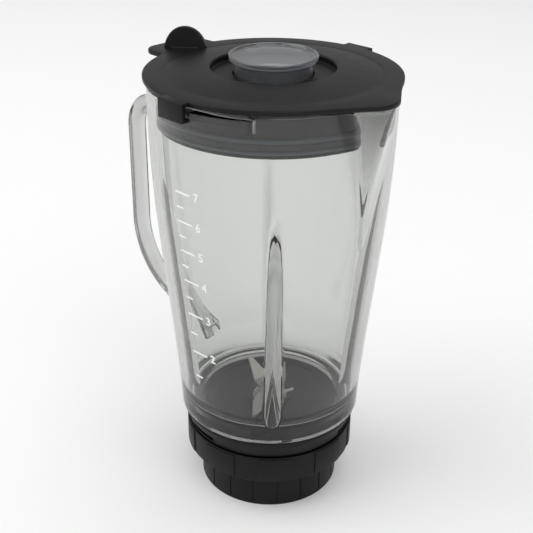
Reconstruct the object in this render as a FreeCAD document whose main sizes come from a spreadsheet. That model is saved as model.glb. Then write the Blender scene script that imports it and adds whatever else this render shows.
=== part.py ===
import FreeCAD, Part
import math
import os

import Sketcher

# Blender jug with lid and blade unit, in millimetres.
# Frame: origin at the centre of the base skirt's lower edge, +Z up along the jug's axis,
# spout towards +X, handle towards -X, the lid's two hook ears towards +Y and -Y.

FULL_TURN = 360
UP = FreeCAD.Vector(0, 0, 1)

# name: (value, what it sets)
SIZES = {
    # glass jug
    "rim_outer": (72.1, "outer radius of the jug at the rim"),
    "wall": (4.5, "thickness of the glass wall"),
    "rim_top": (271.4, "height of the glass rim"),
    "bend_start": (172.0, "height where the wall starts to turn upright"),
    "bend_length": (92.0, "height of the upper wall's curve"),
    "bend_radius": (920.0, "radius of the upper wall's curve"),
    "bend_inset": (4.6, "how far inside the rim the wall starts to turn upright"),
    "waist_height": (100.0, "height where the lower wall turns straight"),
    "waist_inset": (11.8, "how far inside the rim the lower wall turns straight"),
    "foot_inset": (14.8, "how far inside the rim the glass foot's side is"),
    "foot_radius": (800.0, "radius of the lower wall's curve"),
    "foot_under": (57.0, "height of the glass foot's underside"),
    "foot_round": (3.5, "rounding under the glass foot"),
    "foot_floor": (7.0, "thickness of glass over the foot's underside"),
    "floor_round": (9.0, "rounding between wall and glass floor"),
    "foot_overhang": (8.3, "how far the foot stands out over the neck"),
    "neck_wall": (4.7, "wall of the glass neck"),
    "neck_bottom": (35.0, "height of the glass neck's lower end"),
    # spout
    "spout_start": (186.0, "height where the spout leaves the wall"),
    "spout_overhang": (11.9, "how far the spout's tip stands out of the rim"),
    "spout_middle": (236.0, "height of the spout's middle section"),
    "spout_middle_overhang": (2.5, "how far the middle section stands out of the rim's radius"),
    "spout_tip": (14.0, "outer radius of the spout's tip at the rim"),
    "spout_tip_low": (10.0, "outer radius of the spout's tip where it starts"),
    "spout_sink": (1.2, "depth of the spout's root inside the wall"),
    # inside ribs
    "rib_depth": (7.5, "depth of each inside rib"),
    "rib_half_width": (4.7, "half width of each inside rib"),
    "rib_full": (168.0, "height up to which the ribs have full depth"),
    "rib_top": (206.0, "height of the ribs' points"),
    "rib_first": (45.0, "angle of the first rib from the spout"),
    # rim ledges
    "ledge_reach": (3.4, "how far the rim ledges stand out of the glass"),
    "ledge_drop": (5.1, "depth of the rim ledges' undersides below the rim"),
    "ledge_height": (3.6, "height of the rim ledges"),
    "ledge_sweep": (28.4, "angle along each rim ledge"),
    "ledge_stop": (3.2, "angle of the stop block at a ledge's end"),
    "stop_drop": (3.8, "how far the stop block hangs below the ledge"),
    # handle
    "handle_offset": (51.3, "distance of the grip's centre line from the rim"),
    "handle_radial": (9.5, "thickness of the handle, towards the jug"),
    "handle_side": (11.5, "width of the handle, across"),
    "handle_round": (3.8, "rounding of the handle's edges"),
    "handle_root_depth": (0.5, "depth of the lower root's centre inside the foot's radius"),
    "handle_root_height": (82.4, "height of the lower root's centre"),
    "handle_root_slope": (26.6, "slope of the lower arm"),
    "handle_low_bend": (50.0, "radius of the lower bend"),
    "handle_high_bend": (20.0, "radius of the upper bend"),
    "handle_top_slope": (19.0, "slope of the upper arm"),
    "handle_top_height": (227.9, "height of the upper bend's corner"),
    "handle_top_depth": (2.6, "depth of the upper root's end inside the rim's radius"),
    # collar
    "collar_fit": (0.15, "clearance between collar and glass"),
    "collar_wall": (1.6, "wall of the collar's sleeve"),
    "collar_bottom": (36.0, "height of the sleeve's lower end"),
    "collar_shoulder": (44.6, "height of the collar's skirt"),
    "collar_skirt_step": (3.6, "how far the collar's lower skirt stands out of the neck"),
    "collar_top": (56.6, "height of the collar's upper edge"),
    "collar_brim_step": (7.0, "how far the collar's upper edge stands out of the neck"),
    "slot_height": (3.4, "height of the collar's slots"),
    "slot_sweep": (24.0, "angle along each collar slot"),
    "slot_angle": (-112.0, "angle of the first collar slot"),
    # bayonet of the blade unit
    "lug_count": (3.0, "bayonet lugs round the collar"),
    "lug_reach": (1.3, "how far a lug stands out of the sleeve"),
    "lug_bottom": (39.4, "height of the lugs' undersides"),
    "lug_height": (2.4, "height of the lugs"),
    "lug_sweep": (34.0, "angle along each lug"),
    "lug_stop": (4.0, "angle of the stop at a lug's end"),
    "ring_ledge_height": (2.4, "height of the locking ring's ledges"),
    "ring_ledge_sweep": (28.0, "angle along each ledge of the locking ring"),
    "bayonet_gap": (0.35, "clearance round the bayonet"),
    # locking ring
    "ring_step": (5.2, "how far the locking ring's pads stand out of the neck"),
    "ring_wall": (1.2, "wall of the locking ring between its pads"),
    "pad_depth": (0.6, "how far a grip pad stands out"),
    "pad_sweep": (23.0, "angle along each grip pad"),
    "pad_count": (9.0, "grip pads round the locking ring"),
    "pad_first": (-94.0, "angle of the first grip pad"),
    "ring_bottom": (25.6, "height of the locking ring's lower edge"),
    "ring_top": (43.6, "height of the locking ring's upper edge"),
    "ring_floor": (3.2, "thickness of the locking ring's floor"),
    "ring_edge": (0.8, "rounding of the locking ring's edges"),
    # blade carrier
    "skirt_inset": (4.1, "how far the base skirt is inside the neck's radius"),
    "skirt_wall": (2.4, "wall of the base skirt"),
    "skirt_relief": (0.5, "step of the skirt's hidden upper part"),
    "skirt_edge": (0.8, "rounding of the base skirt's lower edge"),
    "skirt_fit": (0.4, "clearance between skirt and locking ring"),
    "flange_step": (1.2, "how far the clamped flange stands out of the neck"),
    "flange_height": (3.2, "thickness of the clamped flange"),
    "cup_fit": (0.5, "clearance between blade carrier and glass neck"),
    "cup_wall": (2.4, "wall of the carrier's cup"),
    "floor_top": (54.0, "height of the floor under the blades"),
    "floor_thick": (3.0, "thickness of the floor under the blades"),
    "floor_dish": (1.6, "how far the floor dips between rim and hub"),
    "hub_wall": (5.0, "wall of the carrier's hub"),
    "hub_top": (57.0, "height of the hub"),
    "boss_wall": (3.5, "wall of the boss under the floor"),
    "boss_bottom": (35.5, "height of the boss's lower end"),
    "web_count": (6.0, "stiffening webs under the floor"),
    "web_thick": (2.0, "thickness of a web"),
    "web_bottom": (40.0, "height of the webs' lower edges"),
    "flute_count": (18.0, "grooves round the base skirt"),
    "flute_depth": (0.35, "depth of a groove"),
    "flute_width": (1.0, "width of a groove"),
    # base seal
    "seal_height": (2.6, "thickness of the base seal"),
    # bearing
    "part_gap": (0.3, "play between parts that turn past each other"),
    "press_gap": (0.02, "clearance between pieces pressed into each other"),
    "sleeve_wall": (2.4, "wall of the bearing sleeve"),
    "bush_wall": (1.6, "wall of a bush, with its running clearance"),
    "sleeve_flange_step": (3.2, "how far the bearing sleeve's flange stands out"),
    "sleeve_flange_height": (1.6, "thickness of the sleeve's flange"),
    "sleeve_bottom": (24.0, "height of the sleeve's lower end"),
    "bush_height": (8.0, "length of a bush"),
    "bush_inset": (1.0, "depth of the lower bush inside the sleeve"),
    "upper_bush_bottom": (43.5, "height of the upper bush's lower end"),
    "lip_height": (4.5, "height of the shaft seal"),
    "washer_height": (0.8, "thickness of a washer"),
    "nut_height": (4.0, "thickness of the bearing nut"),
    "nut_flats": (22.0, "width across flats of the bearing nut"),
    # shaft and blades
    "shaft_radius": (4.0, "radius of the blade shaft"),
    "shaft_fit": (0.04, "running clearance round the shaft"),
    "shaft_bottom": (6.0, "height of the shaft's lower end"),
    "tang_step": (1.0, "step from the shaft to its upper end"),
    "tang_flat_depth": (0.8, "depth of the upper end's flats"),
    "blade_thick": (1.5, "thickness of the blades"),
    "spacer_height": (1.5, "thickness of the blade spacer"),
    "blade_hub": (8.0, "radius of the blades' middle"),
    "blade_root": (6.0, "half width of a blade at its root"),
    "blade_tip": (2.5, "half width of a blade at its tip"),
    "lower_blade_flat": (15.0, "distance of the lower blades' bend from the axis"),
    "lower_blade_reach": (34.0, "length of the lower blades before bending"),
    "lower_blade_drop": (6.0, "bend of the lower blades, downwards"),
    "lower_blade_angle": (-66.0, "angle of the lower blades at rest"),
    "upper_blade_flat": (10.0, "distance of the upper blades' bend from the axis"),
    "upper_blade_reach": (29.0, "length of the upper blades before bending"),
    "upper_blade_rise": (38.0, "bend of the upper blades, upwards"),
    "upper_blade_angle": (-15.0, "angle of the upper blades at rest"),
    "blade_nut_wall": (2.0, "wall of the blade nut at its flats"),
    "blade_nut_height": (4.0, "height of the blade nut's hexagon"),
    "blade_nut_dome": (3.0, "height of the blade nut's dome"),
    "clip_step": (2.2, "how far the circlip stands out of the shaft"),
    "clip_depth": (0.6, "depth of the circlip's groove"),
    "clip_height": (0.8, "thickness of the circlip"),
    # drive coupling
    "coupling_bottom": (4.0, "height of the coupling's lower end"),
    "coupling_height": (14.0, "height of the drive coupling"),
    "coupling_core": (10.5, "radius of the coupling between its teeth"),
    "coupling_outer": (14.5, "radius over the coupling's teeth"),
    "tooth_count": (6.0, "teeth of the drive coupling"),
    "tooth_width": (5.0, "width of a coupling tooth"),
    "insert_wall": (3.0, "wall of the coupling's insert"),
    # lid
    "lid_overhang": (1.9, "how far the lid's plate stands out of the rim"),
    "lid_plate": (3.0, "thickness of the lid's plate"),
    "lid_edge": (0.9, "rounding of the lid's edges"),
    "lid_rest": (0.4, "play between rim and lid"),
    "dome_inset": (13.0, "distance from the plate's edge to the lid's dome"),
    "dome_rise": (3.0, "height of the lid's dome"),
    "dome_round": (130.0, "radius of the dome's curve"),
    "well_outer": (35.8, "radius of the lid's well"),
    "well_depth": (4.2, "depth of the well below the dome's top"),
    "lid_wall": (2.5, "thickness of the lid's other walls"),
    "hole_radius": (23.1, "radius of the hole in the lid"),
    "tube_drop": (10.9, "depth of the tube's lower end below the rim"),
    "tube_wall": (2.0, "wall of the lid's tube"),
    "tube_lip": (2.2, "how far the tube's lip reaches inwards"),
    "tube_lip_height": (1.6, "thickness of the tube's lip"),
    "plug_gap": (3.2, "gap between the lid's plug and the glass"),
    "plug_drop": (24.8, "depth of the plug's lower edge below the rim"),
    "plug_lip_step": (1.2, "how far the flange that holds the lid seal stands out"),
    "plug_lip_height": (1.4, "thickness of that flange"),
    "groove_depth": (1.6, "depth of the seal's groove in the plug"),
    "groove_height": (9.4, "height of the seal's groove"),
    "lid_seal_fit": (0.08, "clearance of the seal in its groove"),
    "lid_seal_rim": (0.5, "clearance between seal and glass"),
    "lip_thick": (1.6, "thickness of a seal lip"),
    "cover_overlap": (1.8, "how far the lid covers the spout's tip"),
    "tab_overhang": (17.4, "how far the handle tab stands out of the rim"),
    "tab_half_width": (21.0, "half width of the handle tab"),
    "tab_round": (9.0, "corner rounding of the handle tab"),
    "ear_overhang": (6.5, "how far an ear's outer face stands out of the rim"),
    "ear_wall": (2.6, "thickness of an ear"),
    "ear_half_width": (9.35, "half width of an ear"),
    "ear_foot": (1.9, "thickness of an ear's hook"),
    "ear_gap": (0.6, "clearance round an ear's hook"),
    "fin_offset": (0.9, "distance of the thumb fin's middle outside the rim's radius"),
    "fin_length": (25.0, "length of the thumb fin"),
    "fin_rise": (12.4, "height of the thumb fin above the lid"),
    "fin_thick": (5.0, "thickness of the thumb fin"),
    "fin_root": (1.2, "depth of the fin's root in the lid"),
    "fin_turn": (40.0, "turn of the thumb fin away from the radial line"),
    "fin_shoulder": (0.45, "share of the fin's height at which its ends turn round"),
    "fin_bow": (1.05, "radius of the fin's crown, as a share of its half length"),
    # filler cap
    "cap_flange_step": (3.0, "how far the filler cap's top stands out of its body"),
    "cap_rise": (13.0, "height of the filler cap's rim above the glass"),
    "cap_rim": (1.6, "width of the cap's raised rim"),
    "cap_dish": (1.2, "depth of the cap's shallow dish"),
    "cap_flange": (2.9, "thickness of the cap's flange"),
    "cap_fit": (0.6, "play between the cap's body and the tube"),
    "cap_wall": (2.0, "wall of the cap"),
    "cap_play": (0.3, "play between cap and tube lip"),
    # small details
    "cut_room": (1.0, "how far a cut reaches past what it cuts"),
    "root_depth": (1.0, "how far an added block reaches into its neighbour"),
    "rib_count": (4.0, "inside ribs"),
    "rib_fade": (0.45, "depth of a rib at its point, inside the wall"),
    "slot_rise": (1.5, "height of the collar's slots above its shoulder"),
    "ring_ledge_play": (0.7, "angle between a locked ledge and the lug's stop"),
    "floor_step": (2.0, "width of the fillet round the hub"),
    "floor_step_rise": (0.6, "rise of the fillet round the hub"),
    "hub_round": (1.0, "rounding of the hub's edge"),
    "skirt_slope": (1.5, "height of the slope between skirt and cup, inside"),
    "flute_bottom": (2.4, "height of a groove's lower end"),
    "flute_room": (4.8, "length that the grooves leave free of the skirt"),
    "metal_edge": (0.5, "chamfer of the metal parts' edges"),
    "seal_play": (0.05, "extra bore of the shaft seal's lip"),
    "seal_relief": (0.9, "relief behind the shaft seal's lip"),
    "seal_lip": (1.2, "height of the shaft seal's lip"),
    "seal_lip_slope": (0.6, "slope of the shaft seal's lip"),
    "washer_step": (1.0, "how far the bearing washer stands out of the boss"),
    "blade_shoulder": (0.8, "share of the flat middle at which a blade starts to taper"),
    "blade_start": (0.5, "share of the flat middle at which the taper's cut starts"),
    "blade_lead": (0.5, "offset of the ground edge at a blade's tip"),
    "blade_room": (3.0, "how far a blade's cut reaches past its tip"),
    "spacer_step": (1.0, "how far the blade spacer is inside the blades' middle"),
    "dome_bow": (1.2, "radius of the nut's dome, as a share of its width"),
    "tooth_depth": (4.0, "height of the coupling's plain upper end"),
    "tooth_root": (2.0, "depth of a tooth's root in the coupling"),
    "lip_droop": (1.3, "how far a seal lip hangs"),
    "lip_root": (2.2, "height of a seal lip's root"),
    "lip_edge": (0.3, "slant of a seal lip's edge"),
    "cap_edge": (0.5, "rounding under the cap's flange"),
    "cap_rim_edge": (0.6, "rounding of the cap's rim"),
    "cap_slope": (0.8, "slope inside the cap's rim"),
    "cap_crown": (0.3, "dip of the cap's middle"),
}


class Size:
    """A length or angle that knows its number and its spreadsheet expression."""

    def __init__(self, number, text):
        self.number = number
        self.text = text

    def __add__(self, other):
        other = as_size(other)
        return Size(self.number + other.number, f"({self.text} + {other.text})")

    def __sub__(self, other):
        other = as_size(other)
        return Size(self.number - other.number, f"({self.text} - {other.text})")

    def __rsub__(self, other):
        return as_size(other) - self

    def __mul__(self, other):
        other = as_size(other)
        return Size(self.number * other.number, f"({self.text} * {other.text})")

    def __truediv__(self, other):
        other = as_size(other)
        return Size(self.number / other.number, f"({self.text} / {other.text})")

    def __neg__(self):
        return Size(-self.number, f"(-1 * {self.text})")

    __radd__ = __add__
    __rmul__ = __mul__


def as_size(value):
    return value if isinstance(value, Size) else Size(float(value), repr(float(value)))


def square_root(size):
    return Size(math.sqrt(size.number), f"sqrt({size.text})")


def cosine(angle):
    return Size(math.cos(math.radians(angle.number)), f"cos({angle.text})")


def sine(angle):
    return Size(math.sin(math.radians(angle.number)), f"sin({angle.text})")


class Sheet:
    """The spreadsheet of driving sizes; sheet.wall is the Size of that alias."""

    def __init__(self, document):
        cells = document.addObject("Spreadsheet::Sheet", "sizes")
        for row, (alias, (value, purpose)) in enumerate(SIZES.items(), start=1):
            cells.set(f"A{row}", alias)
            cells.set(f"B{row}", str(value))
            cells.set(f"C{row}", purpose)
            cells.setAlias(f"B{row}", alias)
        document.recompute()
        for alias in SIZES:
            setattr(self, alias, Size(float(getattr(cells, alias)), f"sizes.{alias}"))


doc = FreeCAD.newDocument("blender_jug")
s = Sheet(doc)

# Sizes that follow others, so that neighbours stay together when one is changed.
s.bend_outer = s.rim_outer - s.bend_inset
s.waist_outer = s.rim_outer - s.waist_inset
s.foot_outer = s.rim_outer - s.foot_inset
s.neck_outer = s.foot_outer - s.foot_overhang
s.spout_reach = s.rim_outer + s.spout_overhang
s.spout_middle_reach = s.rim_outer + s.spout_middle_overhang
s.ledge_bottom = s.rim_top - s.ledge_drop
s.handle_reach = s.rim_outer + s.handle_offset
s.handle_root = s.foot_outer - s.handle_root_depth
s.handle_top_end = s.rim_outer - s.handle_top_depth
s.collar_skirt = s.neck_outer + s.collar_skirt_step
s.collar_brim = s.neck_outer + s.collar_brim_step
s.ring_outer = s.neck_outer + s.ring_step
s.skirt_outer = s.neck_outer - s.skirt_inset
s.flange_outer = s.neck_outer + s.flange_step
s.sleeve_bore = s.shaft_radius + s.bush_wall
s.sleeve_outer = s.sleeve_bore + s.sleeve_wall
s.sleeve_flange = s.sleeve_outer + s.sleeve_flange_step
s.hub_outer = s.sleeve_outer + s.hub_wall
s.boss_outer = s.sleeve_outer + s.boss_wall
s.tang_radius = s.shaft_radius - s.tang_step
s.tang_flat = s.tang_radius - s.tang_flat_depth
s.blade_nut_flats = (s.tang_radius + s.blade_nut_wall) * 2
s.clip_outer = s.shaft_radius + s.clip_step
s.clip_groove = s.shaft_radius - s.clip_depth
s.insert_outer = s.shaft_radius + s.insert_wall
s.lid_outer = s.rim_outer + s.lid_overhang
s.dome_outer = s.lid_outer - s.dome_inset
s.tube_bottom = s.rim_top - s.tube_drop
s.plug_outer = s.rim_outer - s.wall - s.plug_gap
s.plug_bottom = s.rim_top - s.plug_drop
s.plug_lip = s.plug_outer + s.plug_lip_step
s.tab_reach = s.rim_outer + s.tab_overhang
s.ear_face = s.rim_outer + s.ear_overhang
s.fin_place = s.rim_outer + s.fin_offset
s.cap_body = s.hole_radius - s.cap_fit
s.cap_outer = s.cap_body + s.cap_flange_step
s.cap_top = s.rim_top + s.cap_rise


# ---------------------------------------------------------------- drawing helpers

def bind(target, name, value):
    """Ties a property to the spreadsheet."""
    target.setExpression(name, as_size(value).text)


def origin_plane(body, role):
    return next(f for f in body.Origin.OriginFeatures if f.Role == role)


def hold(sketch, kind, edge, end, value):
    """Fixes one coordinate of an edge's end point, zero as a point on the axis."""
    if value.number == 0:
        axis = -2 if kind == "DistanceX" else -1
        sketch.addConstraint(Sketcher.Constraint("PointOnObject", edge, end, axis))
        return
    index = sketch.addConstraint(Sketcher.Constraint(kind, -1, 1, edge, end, value.number))
    sketch.setExpression(f"Constraints[{index}]", value.text)


def draw(sketch, corners, closed=True):
    """Draws an outline through (x, y) corners.

    A corner (x, y, radius) starts an arc to the next corner: a positive radius turns left,
    a negative one turns right.
    """
    points = [(as_size(c[0]), as_size(c[1])) for c in corners]
    count = len(corners)
    ends = []
    for i in range(count if closed else count - 1):
        a = FreeCAD.Vector(points[i][0].number, points[i][1].number, 0)
        b = FreeCAD.Vector(points[(i + 1) % count][0].number, points[(i + 1) % count][1].number, 0)
        if len(corners[i]) == 2:
            edge = sketch.addGeometry(Part.LineSegment(a, b))
            ends.append((edge, 1, 2))
            continue
        radius = as_size(corners[i][2])
        turn = 1 if radius.number > 0 else -1
        size = abs(radius.number)
        half = (b - a) / 2
        sag = math.sqrt(max(size ** 2 - half.Length ** 2, 0))
        left = FreeCAD.Vector(-half.y, half.x, 0).normalize()
        centre = a + half + left * (turn * sag)
        first, last = (a, b) if turn > 0 else (b, a)
        start = math.atan2(first.y - centre.y, first.x - centre.x)
        stop = math.atan2(last.y - centre.y, last.x - centre.x)
        circle = Part.Circle(centre, UP, size)
        if stop <= start:
            stop += 2 * math.pi
        edge = sketch.addGeometry(Part.ArcOfCircle(circle, start, stop))
        ends.append((edge, 1, 2) if turn > 0 else (edge, 2, 1))
        index = sketch.addConstraint(Sketcher.Constraint("Radius", edge, size))
        sketch.setExpression(f"Constraints[{index}]", (radius if turn > 0 else -radius).text)
    for i, (edge, start, stop) in enumerate(ends):
        hold(sketch, "DistanceX", edge, start, points[i][0])
        hold(sketch, "DistanceY", edge, start, points[i][1])
        if closed or i + 1 < len(ends):
            following = ends[(i + 1) % len(ends)]
            sketch.addConstraint(Sketcher.Constraint("Coincident", edge, stop, following[0], following[1]))
    if not closed:
        edge, start, stop = ends[-1]
        hold(sketch, "DistanceX", edge, stop, points[-1][0])
        hold(sketch, "DistanceY", edge, stop, points[-1][1])


def draw_circle(sketch, radius):
    """Draws a full circle round the sketch's origin."""
    edge = sketch.addGeometry(Part.Circle(FreeCAD.Vector(), UP, radius.number))
    sketch.addConstraint(Sketcher.Constraint("Coincident", edge, 3, -1, 1))
    index = sketch.addConstraint(Sketcher.Constraint("Radius", edge, radius.number))
    sketch.setExpression(f"Constraints[{index}]", radius.text)


def new_body(name):
    return doc.addObject("PartDesign::Body", name)


def sketch_on(body, name, role, corners, height=0, turn=0, closed=True):
    """A sketch on one of the body's origin planes, lifted by height and turned about its normal.

    corners is an outline for draw, or one Size, which is the radius of a circle.
    """
    sketch = body.newObject("Sketcher::SketchObject", name)
    sketch.AttachmentSupport = [(origin_plane(body, role), "")]
    sketch.MapMode = "FlatFace"
    bind(sketch, "AttachmentOffset.Base.z", height)
    bind(sketch, "AttachmentOffset.Rotation.Angle", turn)
    if isinstance(corners, Size):
        draw_circle(sketch, corners)
    else:
        draw(sketch, corners, closed)
    return sketch


def revolve(body, name, corners):
    """Turns an outline of (radius, height) corners about the body's Z axis."""
    sketch = sketch_on(body, name + "_outline", "XZ_Plane", corners)
    feature = body.newObject("PartDesign::Revolution", name)
    feature.Profile = sketch
    feature.ReferenceAxis = (sketch, ["V_Axis"])
    feature.Angle = FULL_TURN
    return feature


def hollow(body, name, corners):
    """Cuts the turned shape of an outline of (radius, height) corners."""
    sketch = sketch_on(body, name + "_outline", "XZ_Plane", corners)
    feature = body.newObject("PartDesign::Groove", name)
    feature.Profile = sketch
    feature.ReferenceAxis = (sketch, ["V_Axis"])
    feature.Angle = FULL_TURN
    return feature


def pad(body, name, corners, bottom, height, turn=0):
    """Raises an outline of (x, y) corners from bottom by height."""
    sketch = sketch_on(body, name + "_outline", "XY_Plane", corners, bottom, turn)
    feature = body.newObject("PartDesign::Pad", name)
    feature.Profile = sketch
    bind(feature, "Length", height)
    return feature


def pocket(body, name, corners, bottom, height, turn=0):
    """Cuts an outline of (x, y) corners from bottom upwards by height."""
    sketch = sketch_on(body, name + "_outline", "XY_Plane", corners, bottom, turn)
    feature = body.newObject("PartDesign::Pocket", name)
    feature.Profile = sketch
    feature.Reversed = True
    bind(feature, "Length", height)
    return feature


def polar(body, name, features, count):
    """Repeats features round the body's Z axis."""
    pattern = body.newObject("PartDesign::PolarPattern", name)
    pattern.Originals = features
    pattern.Axis = (origin_plane(body, "Z_Axis"), [""])
    pattern.Angle = FULL_TURN
    bind(pattern, "Occurrences", count)
    body.Tip = pattern
    return pattern


def sector(inner, outer, start, sweep):
    """Corners of a piece of ring; angles count from +X, anticlockwise."""
    stop = start + sweep
    return [
        (inner * cosine(start), inner * sine(start)),
        (outer * cosine(start), outer * sine(start), outer),
        (outer * cosine(stop), outer * sine(stop)),
        (inner * cosine(stop), inner * sine(stop), -inner),
    ]


def rectangle(x0, x1, y0, y1):
    return [(x0, y0), (x1, y0), (x1, y1), (x0, y1)]


def rounded_tongue(x0, x1, half_width, corner):
    """A rectangle from x0 to x1 whose two corners at x1 are rounded; x1 lies beyond x0."""
    return [
        (x0, -half_width),
        (x1 - corner, -half_width, corner),
        (x1, -half_width + corner),
        (x1, half_width - corner, corner),
        (x1 - corner, half_width),
        (x0, half_width),
    ]


def tube(name, inner, outer, bottom, height):
    """A plain ring as a body of its own."""
    body = new_body(name)
    revolve(body, name + "_turned", [
        (inner, bottom), (outer, bottom), (outer, bottom + height), (inner, bottom + height)])
    body.Label = name
    return body


def hexagon(flats):
    """Corners of a hexagon with the given width across flats."""
    corner = flats / math.sqrt(3)
    return [
        (corner * math.cos(math.radians(a)), corner * math.sin(math.radians(a)))
        if a % 180 else (corner * math.cos(math.radians(a)), 0)
        for a in range(0, FULL_TURN, 60)
    ]


def double_d(radius, flat):
    """Corners of a round bar with two flats across Y."""
    reach = square_root(radius * radius - flat * flat)
    return [
        (-reach, -flat),
        (reach, -flat, radius),
        (reach, flat),
        (-reach, flat, radius),
    ]


# ---------------------------------------------------------------- derived places

glass_inner = s.rim_outer - s.wall
bend_stop = s.bend_start + s.bend_length
neck_inner = s.neck_outer - s.neck_wall
sleeve_inner = s.neck_outer + s.collar_fit
sleeve_outer = sleeve_inner + s.collar_wall
ring_inner = s.ring_outer - s.pad_depth - s.ring_wall
flange_bottom = s.neck_bottom - s.seal_height - s.flange_height
plate_bottom = s.rim_top + s.lid_rest
plate_top = plate_bottom + s.lid_plate
dome_top = plate_top + s.dome_rise
well_floor = dome_top - s.well_depth
sleeve_top = s.hub_top + s.sleeve_flange_height
washer_bottom = sleeve_top + s.part_gap
lower_blade_bottom = washer_bottom + s.washer_height
spacer_bottom = lower_blade_bottom + s.blade_thick
upper_blade_bottom = spacer_bottom + s.spacer_height
lock_washer_bottom = upper_blade_bottom + s.blade_thick
blade_nut_bottom = lock_washer_bottom + s.washer_height


# ---------------------------------------------------------------- glass jug

def teardrop(circle, reach, tip):
    """Jug circle drawn out to a spout: two straight flanks that touch both rounds."""
    centre = reach - tip
    flank_cos = (circle - tip) / centre
    flank_sin = square_root(1 - flank_cos * flank_cos)
    return [
        (circle * flank_cos, -circle * flank_sin),
        (centre + tip * flank_cos, -tip * flank_sin, tip),
        (centre + tip * flank_cos, tip * flank_sin),
        (circle * flank_cos, circle * flank_sin, circle),
        (-circle, 0, circle),
    ]


def wall_radius(height):
    """Outer radius of the straight and the upper part of the wall."""
    if height.number <= s.bend_start.number:
        slope = (s.bend_outer - s.waist_outer) / (s.bend_start - s.waist_height)
        return s.waist_outer + (height - s.waist_height) * slope
    rest = bend_stop - height
    return s.rim_outer - rest * rest / (2 * s.bend_radius)


def build_glass_jug():
    body = new_body("glass_jug")
    half_wall = s.wall / 2
    shelf = s.foot_under + s.foot_floor
    inner_foot = s.foot_outer - s.wall
    inner_waist = s.waist_outer - s.wall
    inner_bend = s.bend_outer - s.wall
    lip_start = s.rim_top - half_wall
    revolve(body, "jug_outside", [
        (0, s.neck_bottom),
        (s.neck_outer, s.neck_bottom),
        (s.neck_outer, s.foot_under),
        (s.foot_outer - s.foot_round, s.foot_under, s.foot_round),
        (s.foot_outer, s.foot_under + s.foot_round, -s.foot_radius),
        (s.waist_outer, s.waist_height),
        (s.bend_outer, s.bend_start, s.bend_radius),
        (s.rim_outer, bend_stop),
        (s.rim_outer, lip_start, half_wall),
        (s.rim_outer - half_wall, s.rim_top),
        (0, s.rim_top),
    ])
    spout_levels = [
        (s.spout_start, wall_radius(s.spout_start) - s.spout_sink, s.spout_tip_low),
        (s.spout_middle, s.spout_middle_reach, (s.spout_tip_low + s.spout_tip) / 2),
        (s.rim_top, s.spout_reach, s.spout_tip),
    ]
    loft(body, "spout", "PartDesign::AdditiveLoft", [
        (teardrop(wall_radius(z) - s.spout_sink * 2, reach, tip), z) for z, reach, tip in spout_levels])
    hollow(body, "jug_inside", [
        (0, s.neck_bottom - s.cut_room),
        (neck_inner, s.neck_bottom - s.cut_room),
        (neck_inner, shelf - s.cut_room),
        (inner_foot - s.floor_round, shelf, s.floor_round),
        (inner_foot, shelf + s.floor_round, -s.foot_radius),
        (inner_waist, s.waist_height),
        (inner_bend, s.bend_start, s.bend_radius),
        (glass_inner, bend_stop),
        (glass_inner, lip_start, -half_wall),
        (s.rim_outer - half_wall, s.rim_top),
        (s.rim_outer - half_wall, s.rim_top + s.cut_room),
        (0, s.rim_top + s.cut_room),
    ])
    hollow_levels = [(z + (s.cut_room if z is s.rim_top else 0), reach - s.wall, tip - s.wall)
                     for z, reach, tip in spout_levels]
    loft(body, "spout_hollow", "PartDesign::SubtractiveLoft", [
        (teardrop(wall_radius(z) - s.wall - s.spout_sink * 2, reach, tip), z)
        for z, reach, tip in hollow_levels])
    rib = loft(body, "rib", "PartDesign::AdditiveLoft", [
        (rib_section(height, depth), height)
        for height, depth in ((shelf, s.rib_depth), (s.rib_full, s.rib_depth), (s.rib_top, s.rib_fade))],
        turn=s.rib_first, straight=True)
    polar(body, "ribs", [rib], s.rib_count)
    root = s.rim_outer - half_wall
    ledge_start = -90 + ear_angle()
    ledge = pad(body, "rim_ledge", sector(
        root, s.rim_outer + s.ledge_reach, ledge_start, s.ledge_sweep), s.ledge_bottom, s.ledge_height)
    stop = pad(body, "rim_stop", sector(
        root, s.rim_outer + s.ledge_reach, ledge_start + s.ledge_sweep - s.ledge_stop, s.ledge_stop),
        s.ledge_bottom - s.stop_drop, s.stop_drop + s.ledge_height)
    polar(body, "rim_ledges", [ledge, stop], as_size(2))
    add_handle(body)
    body.Label = "glass_jug"
    return body


def rib_section(height, depth):
    """A triangle whose base lies inside the wall and whose point faces the axis."""
    base = wall_radius(height) - s.wall / 2
    crest = wall_radius(height) - s.wall - depth
    return [(base, -s.rib_half_width), (base, s.rib_half_width), (crest, 0)]


def loft(body, name, kind, levels, turn=0, straight=False):
    """Joins outlines at several heights; levels are (corners, height)."""
    sketches = [
        sketch_on(body, f"{name}_level_{i}", "XY_Plane", corners, height, turn)
        for i, (corners, height) in enumerate(levels)
    ]
    feature = body.newObject(kind, name)
    feature.Profile = sketches[0]
    feature.Sections = sketches[1:]
    feature.Ruled = straight
    return feature


def ear_angle():
    """Angle from an ear's middle to the start of the rim ledge beside it."""
    foot_inner = s.rim_outer + s.ear_gap
    half = s.ear_half_width + s.ear_gap
    degrees = math.degrees(math.atan2(half.number, foot_inner.number))
    return Size(degrees, f"(atan({half.text} / {foot_inner.text}) / 1 deg)")


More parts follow.
